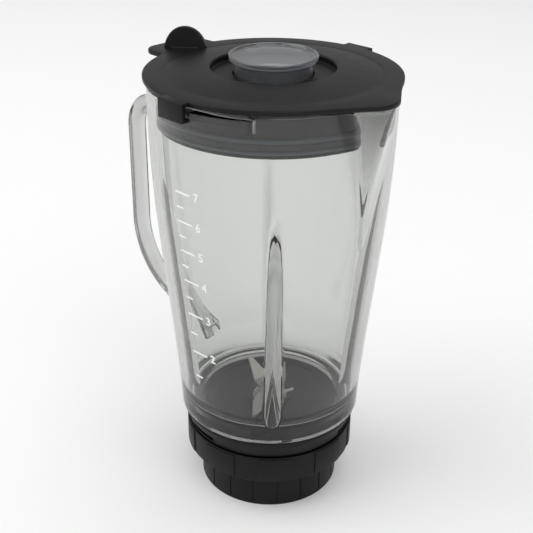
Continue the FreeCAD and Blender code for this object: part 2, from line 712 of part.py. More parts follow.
def add_handle(body):
    """Sweeps a rounded section from the lower root, up the grip and back to the rim."""
    slope_low = s.handle_root_slope
    slope_top = s.handle_top_slope
    low_tangent = s.handle_low_bend * half_turn_tangent(90 - slope_low)
    top_tangent = s.handle_high_bend * half_turn_tangent(90 - slope_top)
    rise = (s.handle_reach - s.handle_root) * tangent(slope_low)
    low_corner = s.handle_root_height + rise
    path = body.newObject("Sketcher::SketchObject", "handle_path")
    path.AttachmentSupport = [(origin_plane(body, "XZ_Plane"), "")]
    path.MapMode = "FlatFace"
    grip = -s.handle_reach
    draw(path, [
        (-s.handle_root, s.handle_root_height),
        (grip + low_tangent * cosine(slope_low), low_corner - low_tangent * sine(slope_low),
         -s.handle_low_bend),
        (grip, low_corner + low_tangent),
        (grip, s.handle_top_height - top_tangent, -s.handle_high_bend),
        (grip + top_tangent * cosine(slope_top), s.handle_top_height + top_tangent * sine(slope_top)),
        (-s.handle_top_end, s.handle_top_height + (s.handle_reach - s.handle_top_end) * tangent(slope_top)),
    ], closed=False)
    section = body.newObject("Sketcher::SketchObject", "handle_section")
    section.AttachmentSupport = [(origin_plane(body, "YZ_Plane"), "")]
    section.MapMode = "FlatFace"
    bind(section, "AttachmentOffset.Base.z", -s.handle_root)
    half_side = s.handle_side / 2
    half_height = s.handle_radial / cosine(slope_low) / 2
    middle = s.handle_root_height
    corner = s.handle_round
    draw(section, [
        (-half_side + corner, middle - half_height),
        (half_side - corner, middle - half_height, corner),
        (half_side, middle - half_height + corner),
        (half_side, middle + half_height - corner, corner),
        (half_side - corner, middle + half_height),
        (-half_side + corner, middle + half_height, corner),
        (-half_side, middle + half_height - corner),
        (-half_side, middle - half_height + corner, corner),
    ])
    handle = body.newObject("PartDesign::AdditivePipe", "handle")
    handle.Profile = section
    handle.Spine = (path, [])
    return handle


def tangent(angle):
    return sine(angle) / cosine(angle)


def half_turn_tangent(angle):
    """Tangent of half an angle."""
    return tangent(angle / 2)


# ---------------------------------------------------------------- collar and locking ring

def build_jug_collar():
    body = new_body("jug_collar")
    revolve(body, "collar_turned", [
        (sleeve_inner, s.collar_bottom),
        (sleeve_outer, s.collar_bottom),
        (sleeve_outer, s.collar_shoulder),
        (s.collar_skirt, s.collar_shoulder),
        (s.collar_brim, s.collar_top),
        (s.collar_brim - s.collar_wall, s.collar_top),
        (s.collar_brim - s.collar_wall, s.foot_under - s.part_gap),
        (sleeve_inner, s.foot_under - s.part_gap),
    ])
    slot_bottom = s.collar_shoulder + s.slot_rise
    slot = pocket(body, "collar_slot", sector(
        s.neck_outer, s.collar_brim + s.cut_room, s.slot_angle, s.slot_sweep), slot_bottom, s.slot_height)
    polar(body, "collar_slots", [slot], s.lug_count)
    root = sleeve_inner + s.collar_wall / 2
    lug = pad(body, "lug", sector(
        root, sleeve_outer + s.lug_reach, s.slot_angle, s.lug_sweep), s.lug_bottom, s.lug_height)
    stop = pad(body, "lug_stop", sector(
        root, sleeve_outer + s.lug_reach, s.slot_angle + s.lug_sweep - s.lug_stop, s.lug_stop),
        s.collar_bottom, s.lug_bottom - s.collar_bottom + s.lug_height / 2)
    polar(body, "lugs", [lug, stop], s.lug_count)
    body.Label = "jug_collar"


def build_locking_ring():
    body = new_body("locking_ring")
    floor_top = s.ring_bottom + s.ring_floor
    wall_outer = s.ring_outer - s.pad_depth
    bore = s.skirt_outer + s.skirt_fit
    edge = s.ring_edge
    revolve(body, "ring_turned", [
        (bore, s.ring_bottom),
        (wall_outer - edge, s.ring_bottom, edge),
        (wall_outer, s.ring_bottom + edge),
        (wall_outer, s.ring_top),
        (ring_inner, s.ring_top),
        (ring_inner, floor_top),
        (bore, floor_top),
    ])
    grip = pad(body, "grip_pad", sector(
        ring_inner + s.ring_wall / 2, s.ring_outer, s.pad_first, s.pad_sweep),
        s.ring_bottom + edge, s.ring_top - s.ring_bottom - edge * 2)
    polar(body, "grip_pads", [grip], s.pad_count)
    ledge_top = s.lug_bottom - s.bayonet_gap
    start = s.slot_angle + s.lug_sweep - s.lug_stop - s.ring_ledge_sweep - s.ring_ledge_play
    ledge = pad(body, "ring_ledge", sector(
        sleeve_outer + s.bayonet_gap, ring_inner + s.ring_wall / 2, start, s.ring_ledge_sweep),
        ledge_top - s.ring_ledge_height, s.ring_ledge_height)
    polar(body, "ring_ledges", [ledge], s.lug_count)
    body.Label = "locking_ring"


# ---------------------------------------------------------------- blade carrier

def build_blade_base():
    body = new_body("blade_base")
    skirt_inner = s.skirt_outer - s.skirt_wall
    flange_top = flange_bottom + s.flange_height
    cup_outer = neck_inner - s.cup_fit
    cup_inner = cup_outer - s.cup_wall
    floor_under = s.floor_top - s.floor_thick
    dish = s.floor_top - s.floor_dish
    sleeve_hole = s.sleeve_outer + s.press_gap
    edge = s.skirt_edge
    revolve(body, "carrier_turned", [
        (skirt_inner, 0),
        (s.skirt_outer - edge, 0, edge),
        (s.skirt_outer, edge),
        (s.skirt_outer, s.ring_bottom - s.skirt_relief),
        (s.skirt_outer - s.skirt_relief, s.ring_bottom - s.skirt_relief),
        (s.skirt_outer - s.skirt_relief, flange_bottom),
        (s.flange_outer, flange_bottom),
        (s.flange_outer, flange_top),
        (cup_outer, flange_top),
        (cup_outer, s.floor_top),
        (cup_outer - s.cup_wall, s.floor_top),
        ((cup_outer + s.hub_outer) / 2, dish),
        (s.hub_outer + s.floor_step, dish + s.floor_step_rise),
        (s.hub_outer, s.hub_top - s.hub_round, s.hub_round),
        (s.hub_outer - s.hub_round, s.hub_top),
        (sleeve_hole, s.hub_top),
        (sleeve_hole, s.boss_bottom),
        (s.boss_outer, s.boss_bottom),
        (s.boss_outer, floor_under - s.floor_dish),
        (cup_inner, floor_under),
        (cup_inner, flange_bottom),
        (skirt_inner, flange_bottom - s.skirt_slope),
    ])
    web = pad(body, "web", rectangle(
        s.boss_outer - s.root_depth, cup_inner + s.cup_wall / 2, -s.web_thick / 2, s.web_thick / 2),
        s.web_bottom, floor_under - s.web_bottom)
    polar(body, "webs", [web], s.web_count)
    flute = pocket(body, "flute", rectangle(
        s.skirt_outer - s.flute_depth, s.skirt_outer + s.cut_room, -s.flute_width / 2, s.flute_width / 2),
        s.flute_bottom, s.ring_bottom - s.flute_room)
    polar(body, "flutes", [flute], s.flute_count)
    body.Label = "blade_base"


def build_bearing():
    tube("base_seal", neck_inner - s.cup_fit + s.part_gap, s.neck_outer,
         s.neck_bottom - s.seal_height, s.seal_height)
    sleeve = new_body("bearing_sleeve")
    revolve(sleeve, "sleeve_turned", [
        (s.sleeve_bore, s.sleeve_bottom),
        (s.sleeve_outer, s.sleeve_bottom),
        (s.sleeve_outer, s.hub_top),
        (s.sleeve_flange, s.hub_top),
        (s.sleeve_flange, sleeve_top - s.metal_edge),
        (s.sleeve_flange - s.metal_edge, sleeve_top),
        (s.sleeve_bore, sleeve_top),
    ])
    sleeve.Label = "bearing_sleeve"
    bush_outer = s.sleeve_bore - s.press_gap
    shaft_bore = s.shaft_radius + s.shaft_fit
    tube("upper_bush", shaft_bore, bush_outer, s.upper_bush_bottom, s.bush_height)
    tube("lower_bush", shaft_bore, bush_outer, s.sleeve_bottom + s.bush_inset, s.bush_height)
    seal_bottom = s.upper_bush_bottom + s.bush_height
    lip_bore = shaft_bore + s.seal_play
    seal = new_body("shaft_seal")
    revolve(seal, "seal_turned", [
        (lip_bore, seal_bottom),
        (bush_outer, seal_bottom),
        (bush_outer, seal_bottom + s.lip_height),
        (shaft_bore + s.seal_relief, seal_bottom + s.lip_height),
        (shaft_bore + s.seal_relief, seal_bottom + s.seal_lip),
        (lip_bore, seal_bottom + s.seal_lip + s.seal_lip_slope),
    ])
    seal.Label = "shaft_seal"
    washer_top = s.boss_bottom
    tube("bearing_washer", s.sleeve_outer + s.press_gap, s.boss_outer + s.washer_step,
         washer_top - s.washer_height, s.washer_height)
    nut = new_body("bearing_nut")
    nut_top = washer_top - s.washer_height
    pad(nut, "nut_hexagon", hexagon(s.nut_flats), nut_top - s.nut_height, s.nut_height)
    bore_through(nut, s.sleeve_outer + s.press_gap, nut_top - s.nut_height, s.nut_height)
    nut.Label = "bearing_nut"


def bore_through(body, radius, bottom, height):
    """Cuts a round hole along the axis."""
    return pocket(body, body.Name + "_bore", radius, bottom, height)


# ---------------------------------------------------------------- shaft, blades and coupling

def build_blade_shaft():
    body = new_body("blade_shaft")
    clip_top = s.sleeve_bottom - s.part_gap
    tang_top = blade_nut_bottom + s.blade_nut_height
    revolve(body, "shaft_turned", [
        (0, s.shaft_bottom),
        (s.shaft_radius, s.shaft_bottom),
        (s.shaft_radius, clip_top - s.clip_height),
        (s.clip_groove, clip_top - s.clip_height),
        (s.clip_groove, clip_top),
        (s.shaft_radius, clip_top),
        (s.shaft_radius, lower_blade_bottom),
        (s.tang_radius, lower_blade_bottom),
        (s.tang_radius, tang_top),
        (0, tang_top),
    ])
    flat_height = blade_nut_bottom - lower_blade_bottom
    reach = s.tang_radius + s.cut_room
    for side, name in ((1, "flat_a"), (-1, "flat_b")):
        inner, outer = (s.tang_flat, reach) if side > 0 else (-reach, -s.tang_flat)
        pocket(body, name, rectangle(-reach, reach, inner, outer), lower_blade_bottom, flat_height)
    body.Label = "blade_shaft"
    tube("circlip", s.clip_groove + s.press_gap, s.clip_outer, clip_top - s.clip_height, s.clip_height)
    tube("thrust_washer", s.shaft_radius + s.press_gap, s.blade_hub, washer_bottom, s.washer_height)
    tube("lock_washer", s.tang_radius + s.press_gap, s.blade_nut_flats / 2 + s.metal_edge,
         lock_washer_bottom, s.washer_height)


def build_blade(name, bottom, flat, reach, bend, angle):
    """A pair of wings from one strip: flat middle, wings bent by the angle bend, up if positive."""
    body = new_body(name)
    strip = sketch_on(body, name + "_strip", "XZ_Plane", blade_side(bottom, flat, reach, bend))
    middle = body.newObject("PartDesign::Pad", name + "_middle")
    middle.Profile = strip
    middle.Midplane = True
    bind(middle, "Length", s.blade_root * 2)
    tip_place = flat + reach * cosine(bend)
    for side, half in ((1, "right"), (-1, "left")):
        trim_blade(body, name + "_" + half, side, flat, tip_place)
    hole = pocket(body, name + "_hole", double_d(
        s.tang_radius + s.press_gap, s.tang_flat + s.press_gap), bottom, s.blade_thick, -angle)
    body.Tip = hole
    body.Label = name
    bind(body, "Placement.Rotation.Angle", angle)


def blade_side(bottom, flat, reach, bend):
    """Side view of the bent strip."""
    top = bottom + s.blade_thick
    run = reach * cosine(bend)
    rise = reach * sine(bend)
    lean = s.blade_thick * sine(bend)
    upright = s.blade_thick * cosine(bend)
    fold = s.blade_thick * tangent(bend / 2)
    return [
        (-flat - run, bottom + rise),
        (-flat, bottom),
        (flat, bottom),
        (flat + run, bottom + rise),
        (flat + run - lean, bottom + rise + upright),
        (flat - fold, top),
        (-flat + fold, top),
        (-flat - run + lean, bottom + rise + upright),
    ]


def trim_blade(body, name, side, flat, tip_place):
    """Cuts the strip to a tapered wing with a ground leading edge."""
    root = s.blade_root
    wide = root + s.cut_room
    far = tip_place + s.blade_room
    start, shoulder = flat * s.blade_start, flat * s.blade_shoulder
    lead = [
        (start, -wide), (far, -wide), (far, s.blade_tip), (tip_place, s.blade_lead), (shoulder, -root)]
    trail = [
        (shoulder, root), (tip_place, s.blade_tip), (far, s.blade_tip), (far, wide), (start, wide)]
    for label, corners in (("lead", lead), ("trail", trail)):
        if side < 0:
            corners = [(-x, -y) for x, y in corners]
        cut = pocket(body, f"{name}_{label}", corners, 0, s.rim_top)
        cut.Refine = True


def build_blades():
    build_blade("lower_blade", lower_blade_bottom, s.lower_blade_flat,
                s.lower_blade_reach - s.lower_blade_flat, -s.lower_blade_drop, s.lower_blade_angle)
    build_blade("upper_blade", upper_blade_bottom, s.upper_blade_flat,
                s.upper_blade_reach - s.upper_blade_flat, s.upper_blade_rise, s.upper_blade_angle)
    tube("blade_spacer", s.tang_radius + s.press_gap, s.blade_hub - s.spacer_step, spacer_bottom,
         s.spacer_height)
    nut = new_body("blade_nut")
    pad(nut, "blade_nut_hexagon", hexagon(s.blade_nut_flats), blade_nut_bottom, s.blade_nut_height)
    dome_bottom = blade_nut_bottom + s.blade_nut_height
    dome_radius = s.blade_nut_flats / 2 - s.metal_edge
    revolve(nut, "blade_nut_dome", [
        (0, dome_bottom - s.metal_edge),
        (dome_radius, dome_bottom - s.metal_edge),
        (dome_radius, dome_bottom, dome_radius * s.dome_bow),
        (0, dome_bottom + s.blade_nut_dome),
    ])
    bore_through(nut, s.tang_radius + s.press_gap, blade_nut_bottom, s.blade_nut_height + s.part_gap)
    nut.Label = "blade_nut"


def build_coupling():
    body = new_body("drive_coupling")
    top = s.coupling_bottom + s.coupling_height
    pad(body, "coupling_middle", s.coupling_core, s.coupling_bottom, s.coupling_height)
    tooth = pad(body, "coupling_tooth", rectangle(
        s.coupling_core - s.tooth_root, s.coupling_outer, -s.tooth_width / 2, s.tooth_width / 2),
        s.coupling_bottom, s.coupling_height - s.tooth_depth)
    polar(body, "coupling_teeth", [tooth], s.tooth_count)
    bore_through(body, s.insert_outer + s.press_gap, s.coupling_bottom, s.coupling_height)
    body.Label = "drive_coupling"
    tube("coupling_insert", s.shaft_radius + s.press_gap, s.insert_outer, s.shaft_bottom,
         top - s.shaft_bottom)


# ---------------------------------------------------------------- lid, seal and cap

def build_lid():
    body = new_body("lid")
    edge = s.lid_edge
    tube_outer = s.hole_radius + s.tube_wall
    plug_inner = s.plug_outer - s.lid_wall - s.groove_depth
    groove_bottom = s.plug_bottom + s.plug_lip_height
    groove_top = groove_bottom + s.groove_height
    groove_wall = s.plug_outer - s.groove_depth
    well_under = well_floor - s.lid_wall
    lip_inner = s.hole_radius - s.tube_lip
    revolve(body, "lid_turned", [
        (lip_inner, s.tube_bottom),
        (tube_outer, s.tube_bottom),
        (tube_outer, well_under),
        (s.well_outer + s.lid_wall, well_under),
        (s.dome_outer - s.lid_wall, plate_bottom),
        (plug_inner, plate_bottom),
        (plug_inner, s.plug_bottom),
        (s.plug_lip, s.plug_bottom),
        (s.plug_lip, groove_bottom),
        (groove_wall, groove_bottom),
        (groove_wall, groove_top),
        (s.plug_outer, groove_top),
        (s.plug_outer, plate_bottom),
        (s.lid_outer - edge, plate_bottom, edge),
        (s.lid_outer, plate_bottom + edge),
        (s.lid_outer, plate_top - edge, edge),
        (s.lid_outer - edge, plate_top),
        (s.dome_outer, plate_top, s.dome_round),
        (s.well_outer + edge, dome_top, edge),
        (s.well_outer, dome_top - edge),
        (s.well_outer, well_floor),
        (s.hole_radius, well_floor),
        (s.hole_radius, s.tube_bottom + s.tube_lip_height),
        (lip_inner, s.tube_bottom + s.tube_lip_height),
    ])
    cover_tip = s.spout_reach + s.cover_overlap
    inside = s.plug_outer + s.root_depth
    plate_circle = s.lid_outer - edge - s.part_gap
    cover_round = s.spout_tip + s.cover_overlap
    cover = teardrop(plate_circle, cover_tip, cover_round)[:4]
    pad(body, "spout_cover", cover, plate_bottom, s.lid_plate)
    tab = [(-x, -y) + tuple(rest) for x, y, *rest in rounded_tongue(
        inside, s.tab_reach, s.tab_half_width, s.tab_round)]
    pad(body, "handle_tab", tab, plate_bottom + s.part_gap, s.lid_plate - s.part_gap)
    ear_bottom = s.ledge_bottom - s.ear_gap - s.ear_foot
    ear_inner = s.ear_face - s.ear_wall
    foot_inner = s.rim_outer + s.ear_gap
    half = s.ear_half_width
    web = pad(body, "ear_web", rectangle(-half, half, -s.ear_face, -inside), plate_bottom, s.lid_plate)
    wall = pad(body, "ear_wall", rectangle(-half, half, -s.ear_face, -ear_inner),
               ear_bottom, plate_top - ear_bottom)
    foot = pad(body, "ear_foot", rectangle(-half, half, -s.ear_face, -foot_inner), ear_bottom, s.ear_foot)
    polar(body, "ears", [web, wall, foot], as_size(2))
    add_fin(body)
    body.Label = "lid"


def add_fin(body):
    """Upright thumb fin by the handle tab, turned so that a thumb meets its broad side."""
    fin = sketch_on(body, "fin_outline", "XZ_Plane", fin_outline())
    about_upright = FreeCAD.Rotation(FreeCAD.Vector(0, 1, 0), s.fin_turn.number)
    fin.AttachmentOffset = FreeCAD.Placement(FreeCAD.Vector(), about_upright)
    bind(fin, "AttachmentOffset.Rotation.Angle", s.fin_turn)
    bind(fin, "AttachmentOffset.Base.x", -s.fin_place)
    fin_pad = body.newObject("PartDesign::Pad", "fin")
    fin_pad.Profile = fin
    fin_pad.Midplane = True
    bind(fin_pad, "Length", s.fin_thick)


def fin_outline():
    """A half ellipse, drawn as two arcs over upright ends."""
    half = s.fin_length / 2
    crown = plate_top + s.fin_rise
    shoulder = plate_top + s.fin_rise * s.fin_shoulder
    bow = half * s.fin_bow
    return [
        (-half, plate_top - s.fin_root),
        (half, plate_top - s.fin_root),
        (half, shoulder, bow),
        (0, crown, bow),
        (-half, shoulder),
    ]


def build_lid_seal():
    body = new_body("lid_seal")
    fit = s.lid_seal_fit
    inner = s.plug_outer - s.groove_depth + fit
    bottom = s.plug_bottom + s.plug_lip_height + fit
    top = bottom + s.groove_height - fit * 2
    root = s.plug_outer + s.part_gap
    reach = glass_inner - s.lid_seal_rim
    droop = s.lip_droop
    revolve(body, "lid_seal_turned", [
        (inner, bottom),
        (root, bottom),
        (reach, bottom + droop, s.lip_thick),
        (reach - s.lip_edge, bottom + droop + s.lip_thick),
        (root, bottom + s.lip_root),
        (root, top - s.lip_thick - droop),
        (reach, top - s.lip_thick, s.lip_thick),
        (reach - s.lip_edge, top),
        (inner, top),
    ])
    body.Label = "lid_seal"


def build_filler_cap():
    body = new_body("filler_cap")
    bottom = s.tube_bottom + s.tube_lip_height + s.cap_play
    flange_bottom = s.cap_top - s.cap_flange
    dish = s.cap_top - s.cap_dish
    under = dish - s.cap_wall
    revolve(body, "cap_turned", [
        (s.cap_body - s.cap_wall, bottom),
        (s.cap_body, bottom),
        (s.cap_body, flange_bottom),
        (s.cap_outer - s.cap_edge, flange_bottom, s.cap_edge),
        (s.cap_outer, flange_bottom + s.cap_edge),
        (s.cap_outer, s.cap_top - s.cap_rim_edge, s.cap_rim_edge),
        (s.cap_outer - s.cap_rim_edge, s.cap_top),
        (s.cap_outer - s.cap_rim, s.cap_top),
        (s.cap_outer - s.cap_rim - s.cap_slope, dish),
        (0, dish - s.cap_crown),
        (0, under - s.cap_crown),
        (s.cap_body - s.cap_wall, under - s.cap_crown),
    ])
    body.Label = "filler_cap"


# ---------------------------------------------------------------- build and export

BUILDERS = [
    build_glass_jug, build_jug_collar, build_locking_ring, build_blade_base, build_bearing,
    build_blade_shaft, build_blades, build_coupling, build_lid, build_lid_seal, build_filler_cap,
]


def check_document():
    """Stops if a feature failed or a piece has no valid single solid."""
    failed = [o.Name for o in doc.Objects if {"Invalid", "Error"} & set(o.State)]
    if failed:
        raise RuntimeError("features that failed: " + ", ".join(failed))
    for piece in pieces():
        shape = piece.Shape
        if shape.isNull() or not shape.isValid() or len(shape.Solids) != 1:
            raise RuntimeError("not one valid solid: " + piece.Label)


def pieces():
    return [o for o in doc.Objects if o.TypeId == "PartDesign::Body"]


for build in BUILDERS:
    build()
doc.recompute()
check_document()
os.makedirs("parts", exist_ok=True)
for piece in pieces():
    piece.Shape.exportStep(os.path.join("parts", piece.Label + ".step"))
    print(piece.Label, round(piece.Shape.Volume))
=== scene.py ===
# %% [markdown]
# # A glass blender jug, piece by piece
# The frame holds the imported model of the jug: every node with its place and size, in metres.
# It is loaded first and never moved. The pieces made below stand on it.

# %% Load the frame
import math

import bmesh
import bpy
from mathutils import Matrix, Vector


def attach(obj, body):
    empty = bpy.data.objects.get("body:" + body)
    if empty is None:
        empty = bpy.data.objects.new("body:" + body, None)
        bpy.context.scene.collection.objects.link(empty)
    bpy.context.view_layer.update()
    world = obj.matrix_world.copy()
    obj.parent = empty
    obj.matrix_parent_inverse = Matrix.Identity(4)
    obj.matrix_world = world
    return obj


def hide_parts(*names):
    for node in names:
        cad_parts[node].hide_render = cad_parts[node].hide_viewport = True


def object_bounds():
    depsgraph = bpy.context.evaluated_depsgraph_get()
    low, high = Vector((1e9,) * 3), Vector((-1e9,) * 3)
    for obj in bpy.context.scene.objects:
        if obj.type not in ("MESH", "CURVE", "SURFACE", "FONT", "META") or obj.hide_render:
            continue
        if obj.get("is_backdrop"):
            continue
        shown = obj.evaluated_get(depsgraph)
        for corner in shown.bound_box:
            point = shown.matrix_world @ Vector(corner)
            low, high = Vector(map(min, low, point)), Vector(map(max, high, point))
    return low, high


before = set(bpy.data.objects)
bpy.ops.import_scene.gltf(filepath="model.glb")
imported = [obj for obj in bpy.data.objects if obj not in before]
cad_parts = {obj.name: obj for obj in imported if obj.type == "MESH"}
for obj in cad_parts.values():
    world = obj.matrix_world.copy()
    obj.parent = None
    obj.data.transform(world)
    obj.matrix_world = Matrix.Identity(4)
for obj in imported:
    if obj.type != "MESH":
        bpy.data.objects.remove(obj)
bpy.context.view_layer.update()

# %% [markdown]
# All lengths below are written in millimetres, as a drawing gives them, and turned to metres
# by one function. Angles are in degrees. The jug's axis is Z, the spout points along +X, the
# handle along -X, and the lid's two hook ears stand at +Y and -Y.

# %% Units
MM = 0.001


def metres(length):
    return length * MM


def turn(angle):
    """A rotation about the jug's axis."""
    return Matrix.Rotation(math.radians(angle), 4, "Z")


# %% [markdown]
# ## Colour and nodes
# Colours are noted as sRGB hex values, which is how a paint or plastic sample is read. Shaders
# work in linear light, so one function turns them. A second small function adds a node, sets
# what it is given and links what feeds it, and every material below is written with it.

# %% Colour and node helpers
def linear(hex_value):
    """sRGB hex text such as "#1c1c1d" as a linear RGBA tuple."""
    channels = [int(hex_value[i:i + 2], 16) / 255 for i in (1, 3, 5)]
    return tuple(c / 12.92 if c <= 0.04045 else ((c + 0.055) / 1.055) ** 2.4 for c in channels) + (1.0,)


def add_node(tree, kind, settings=None, links=None):
    """Adds a node. A setting names a property or an input socket, a link feeds a socket."""
    node = tree.nodes.new(kind)
    for key, value in (settings or {}).items():
        if key in node.inputs:
            node.inputs[key].default_value = value
        else:
            setattr(node, key, value)
    for key, source in (links or {}).items():
        tree.links.new(source, node.inputs[key])
    return node


def new_material(name, settings):
    """A material with one Principled shader, whose uniform values are set on its own sockets."""
    material = bpy.data.materials.new(name)
    material.use_nodes = True
    tree = material.node_tree
    tree.nodes.clear()
    shader = add_node(tree, "ShaderNodeBsdfPrincipled", settings)
    add_node(tree, "ShaderNodeOutputMaterial", links={"Surface": shader.outputs["BSDF"]})
    return material, tree, shader


def object_coordinates(tree):
    return add_node(tree, "ShaderNodeTexCoord").outputs["Object"]


def noise(tree, size, detail=2.0, stretch=None):
    """Noise whose blobs are about size millimetres across, stretched along an axis if asked."""
    place = object_coordinates(tree)
    if stretch:
        mapping = add_node(tree, "ShaderNodeMapping", {"Scale": stretch}, {"Vector": place})
        place = mapping.outputs["Vector"]
    return add_node(
        tree, "ShaderNodeTexNoise", {"Scale": 1 / metres(size), "Detail": detail}, {"Vector": place}
    ).outputs["Fac"]


def add_bump(tree, shader, height, depth, strength=1.0):
    """Feeds height to the shader as a relief of depth millimetres."""
    bump = add_node(tree, "ShaderNodeBump", {"Distance": metres(depth), "Strength": strength},
                    {"Height": height})
    tree.links.new(bump.outputs["Normal"], shader.inputs["Normal"])


def vary(tree, source, low, high):
    """Maps a 0 to 1 value to low to high."""
    return add_node(
        tree, "ShaderNodeMapRange", {"To Min": low, "To Max": high}, {"Value": source}).outputs["Result"]


def blend_colours(tree, factor, first, second):
    """A colour between two hex values."""
    mix = add_node(tree, "ShaderNodeMix", {"data_type": "RGBA"}, {"Factor": factor})
    colours = [socket for socket in mix.inputs if socket.type == "RGBA"]
    colours[0].default_value = linear(first)
    colours[1].default_value = linear(second)
    return next(socket for socket in mix.outputs if socket.type == "RGBA")


# %% [markdown]
# ## Pressed glass
# The jug is soda-lime glass pressed in an iron mould. It is clear, with a trace of green from
# iron that shows where light runs a long way through it: the foot, the rim and the handle's
# roots. A mould leaves the surface gently uneven over tens of millimetres, which bends what is
# seen through it, so the relief is broad and shallow. The raised scale is pressed in the same
# glass but its fine edges scatter light, so it is rougher and paler.

# %% Glass materials
def pressed_glass():
    material, tree, shader = new_material("soda_lime_glass_pressed", {
        "Base Color": linear("#fdfefd"), "Roughness": 0.0, "IOR": 1.5, "Transmission Weight": 1.0})
    depth = add_node(tree, "ShaderNodeVolumeAbsorption", {"Color": linear("#b5b6b3"), "Density": 84.0})
    output = next(node for node in tree.nodes if node.type == "OUTPUT_MATERIAL")
    tree.links.new(depth.outputs["Volume"], output.inputs["Volume"])
    add_bump(tree, shader, noise(tree, 34.0, 1.0, (1.0, 1.0, 0.35)), 0.05)
    return material


def scale_glass():
    material, tree, shader = new_material("soda_lime_glass_raised_scale", {
        "Base Color": linear("#fbfcfb"), "IOR": 1.5, "Transmission Weight": 0.12})
    tree.links.new(vary(tree, noise(tree, 0.5), 0.4, 0.6), shader.inputs["Roughness"])
    return material


# %% [markdown]
# ## Moulded plastics and silicone
# The lid, collar, locking ring and blade carrier are black polypropylene and ABS, moulded in
# spark-eroded tools. That gives the eye a soft satin with a very fine grain, drawn here at
# 0.6 mm because the real 0.05 mm would vanish. The filler cap is smoke-grey polycarbonate,
# polished in the tool. The seals are platinum-cured silicone: milky, soft and slightly glossy.

# %% Plastic and silicone materials
def satin_black(name, hex_low, hex_high, rough_low, rough_high, grain=0.006):
    material, tree, shader = new_material(name, {"IOR": 1.49, "Specular IOR Level": 0.2})
    clouds = noise(tree, 26.0, 3.0)
    tree.links.new(blend_colours(tree, clouds, hex_low, hex_high), shader.inputs["Base Color"])
    tree.links.new(vary(tree, noise(tree, 9.0, 4.0), rough_low, rough_high), shader.inputs["Roughness"])
    add_bump(tree, shader, noise(tree, 0.6, 2.0), grain, 0.5)
    return material


def smoke_polycarbonate():
    material, tree, shader = new_material("polycarbonate_smoke_moulded", {
        "IOR": 1.58, "Transmission Weight": 0.9, "Coat Weight": 0.2, "Coat Roughness": 0.05})
    clouds = noise(tree, 18.0, 2.0)
    tree.links.new(blend_colours(tree, clouds, "#a3a6ab", "#adb0b5"), shader.inputs["Base Color"])
    tree.links.new(vary(tree, noise(tree, 6.0, 3.0), 0.06, 0.14), shader.inputs["Roughness"])
    return material


def milky_silicone(name, hex_low, hex_high):
    material, tree, shader = new_material(name, {
        "IOR": 1.41, "Transmission Weight": 0.55, "Subsurface Weight": 0.3,
        "Subsurface Radius": (0.004, 0.004, 0.005), "Subsurface Scale": 1.0})
    clouds = noise(tree, 12.0, 2.0)
    tree.links.new(blend_colours(tree, clouds, hex_low, hex_high), shader.inputs["Base Color"])
    tree.links.new(vary(tree, noise(tree, 4.0, 3.0), 0.25, 0.4), shader.inputs["Roughness"])
    return material


def nitrile_rubber():
    material, tree, shader = new_material("nitrile_rubber_moulded", {"IOR": 1.52})
    tree.links.new(blend_colours(tree, noise(tree, 5.0), "#161616", "#202020"), shader.inputs["Base Color"])
    tree.links.new(vary(tree, noise(tree, 2.0), 0.55, 0.75), shader.inputs["Roughness"])
    add_bump(tree, shader, noise(tree, 0.4), 0.02)
    return material


# %% [markdown]
# ## Metals
# The blades are stamped from cold-rolled stainless sheet, whose rolling leaves fine lines
# along the strip, and their edges are ground bright. Shaft, sleeve, nuts and washers are
# turned, with lines round the axis. The bushes are sintered bronze: dull and speckled with pores.

# %% Metal materials
def stainless(name, hex_low, hex_high, stretch, rough_low, rough_high):
    material, tree, shader = new_material(name, {"Metallic": 1.0})
    lines = noise(tree, 1.6, 3.0, stretch)
    tree.links.new(blend_colours(tree, lines, hex_low, hex_high), shader.inputs["Base Color"])
    tree.links.new(vary(tree, lines, rough_low, rough_high), shader.inputs["Roughness"])
    add_bump(tree, shader, lines, 0.002, 0.25)
    return material


def sintered_bronze():
    material, tree, shader = new_material("bronze_sintered", {"Metallic": 1.0})
    pores = noise(tree, 0.5, 3.0)
    tree.links.new(blend_colours(tree, pores, "#7d5f38", "#b08a55"), shader.inputs["Base Color"])
    tree.links.new(vary(tree, pores, 0.4, 0.65), shader.inputs["Roughness"])
    add_bump(tree, shader, pores, 0.03)
    return material


GLASS = pressed_glass()
SCALE = scale_glass()
LID_BLACK = satin_black("polypropylene_black_satin_moulded", "#0e0e0f", "#131314", 0.36, 0.46)
BASE_BLACK = satin_black("abs_black_matt_moulded", "#0b0b0c", "#111112", 0.42, 0.55)
FLOOR_BLACK = satin_black("abs_black_polished", "#0c0c0d", "#121213", 0.08, 0.16, 0.0003)
SMOKE = smoke_polycarbonate()
SILICONE = milky_silicone("silicone_translucent_moulded", "#7b8590", "#8d97a2")
# A darker copy of the silicone: painted shade for the black plug seen through the thin seal.
SILICONE_PAINTED_SHADE = milky_silicone("silicone_painted_shade_over_black", "#22262a", "#2b3034")
RUBBER = nitrile_rubber()
ROLLED = stainless("stainless_rolled_ground", "#b7b5ae", "#c8c6bf", (0.2, 1.0, 1.0), 0.26, 0.34)
TURNED = stainless("stainless_turned", "#9b9a96", "#c4c3bf", (1.0, 1.0, 4.0), 0.22, 0.36)
BRONZE = sintered_bronze()
print("made", len(bpy.data.materials), "materials")


# %% [markdown]
# ## Ways to make a shape
# Most pieces of a jug are turned shapes, so one function spins a cross-section about Z. The
# corners of the cross-section carry their own rounding radius, because a moulded edge is
# never sharp and a round one catches the light. Flat pieces are an outline that is raised
# and bevelled.

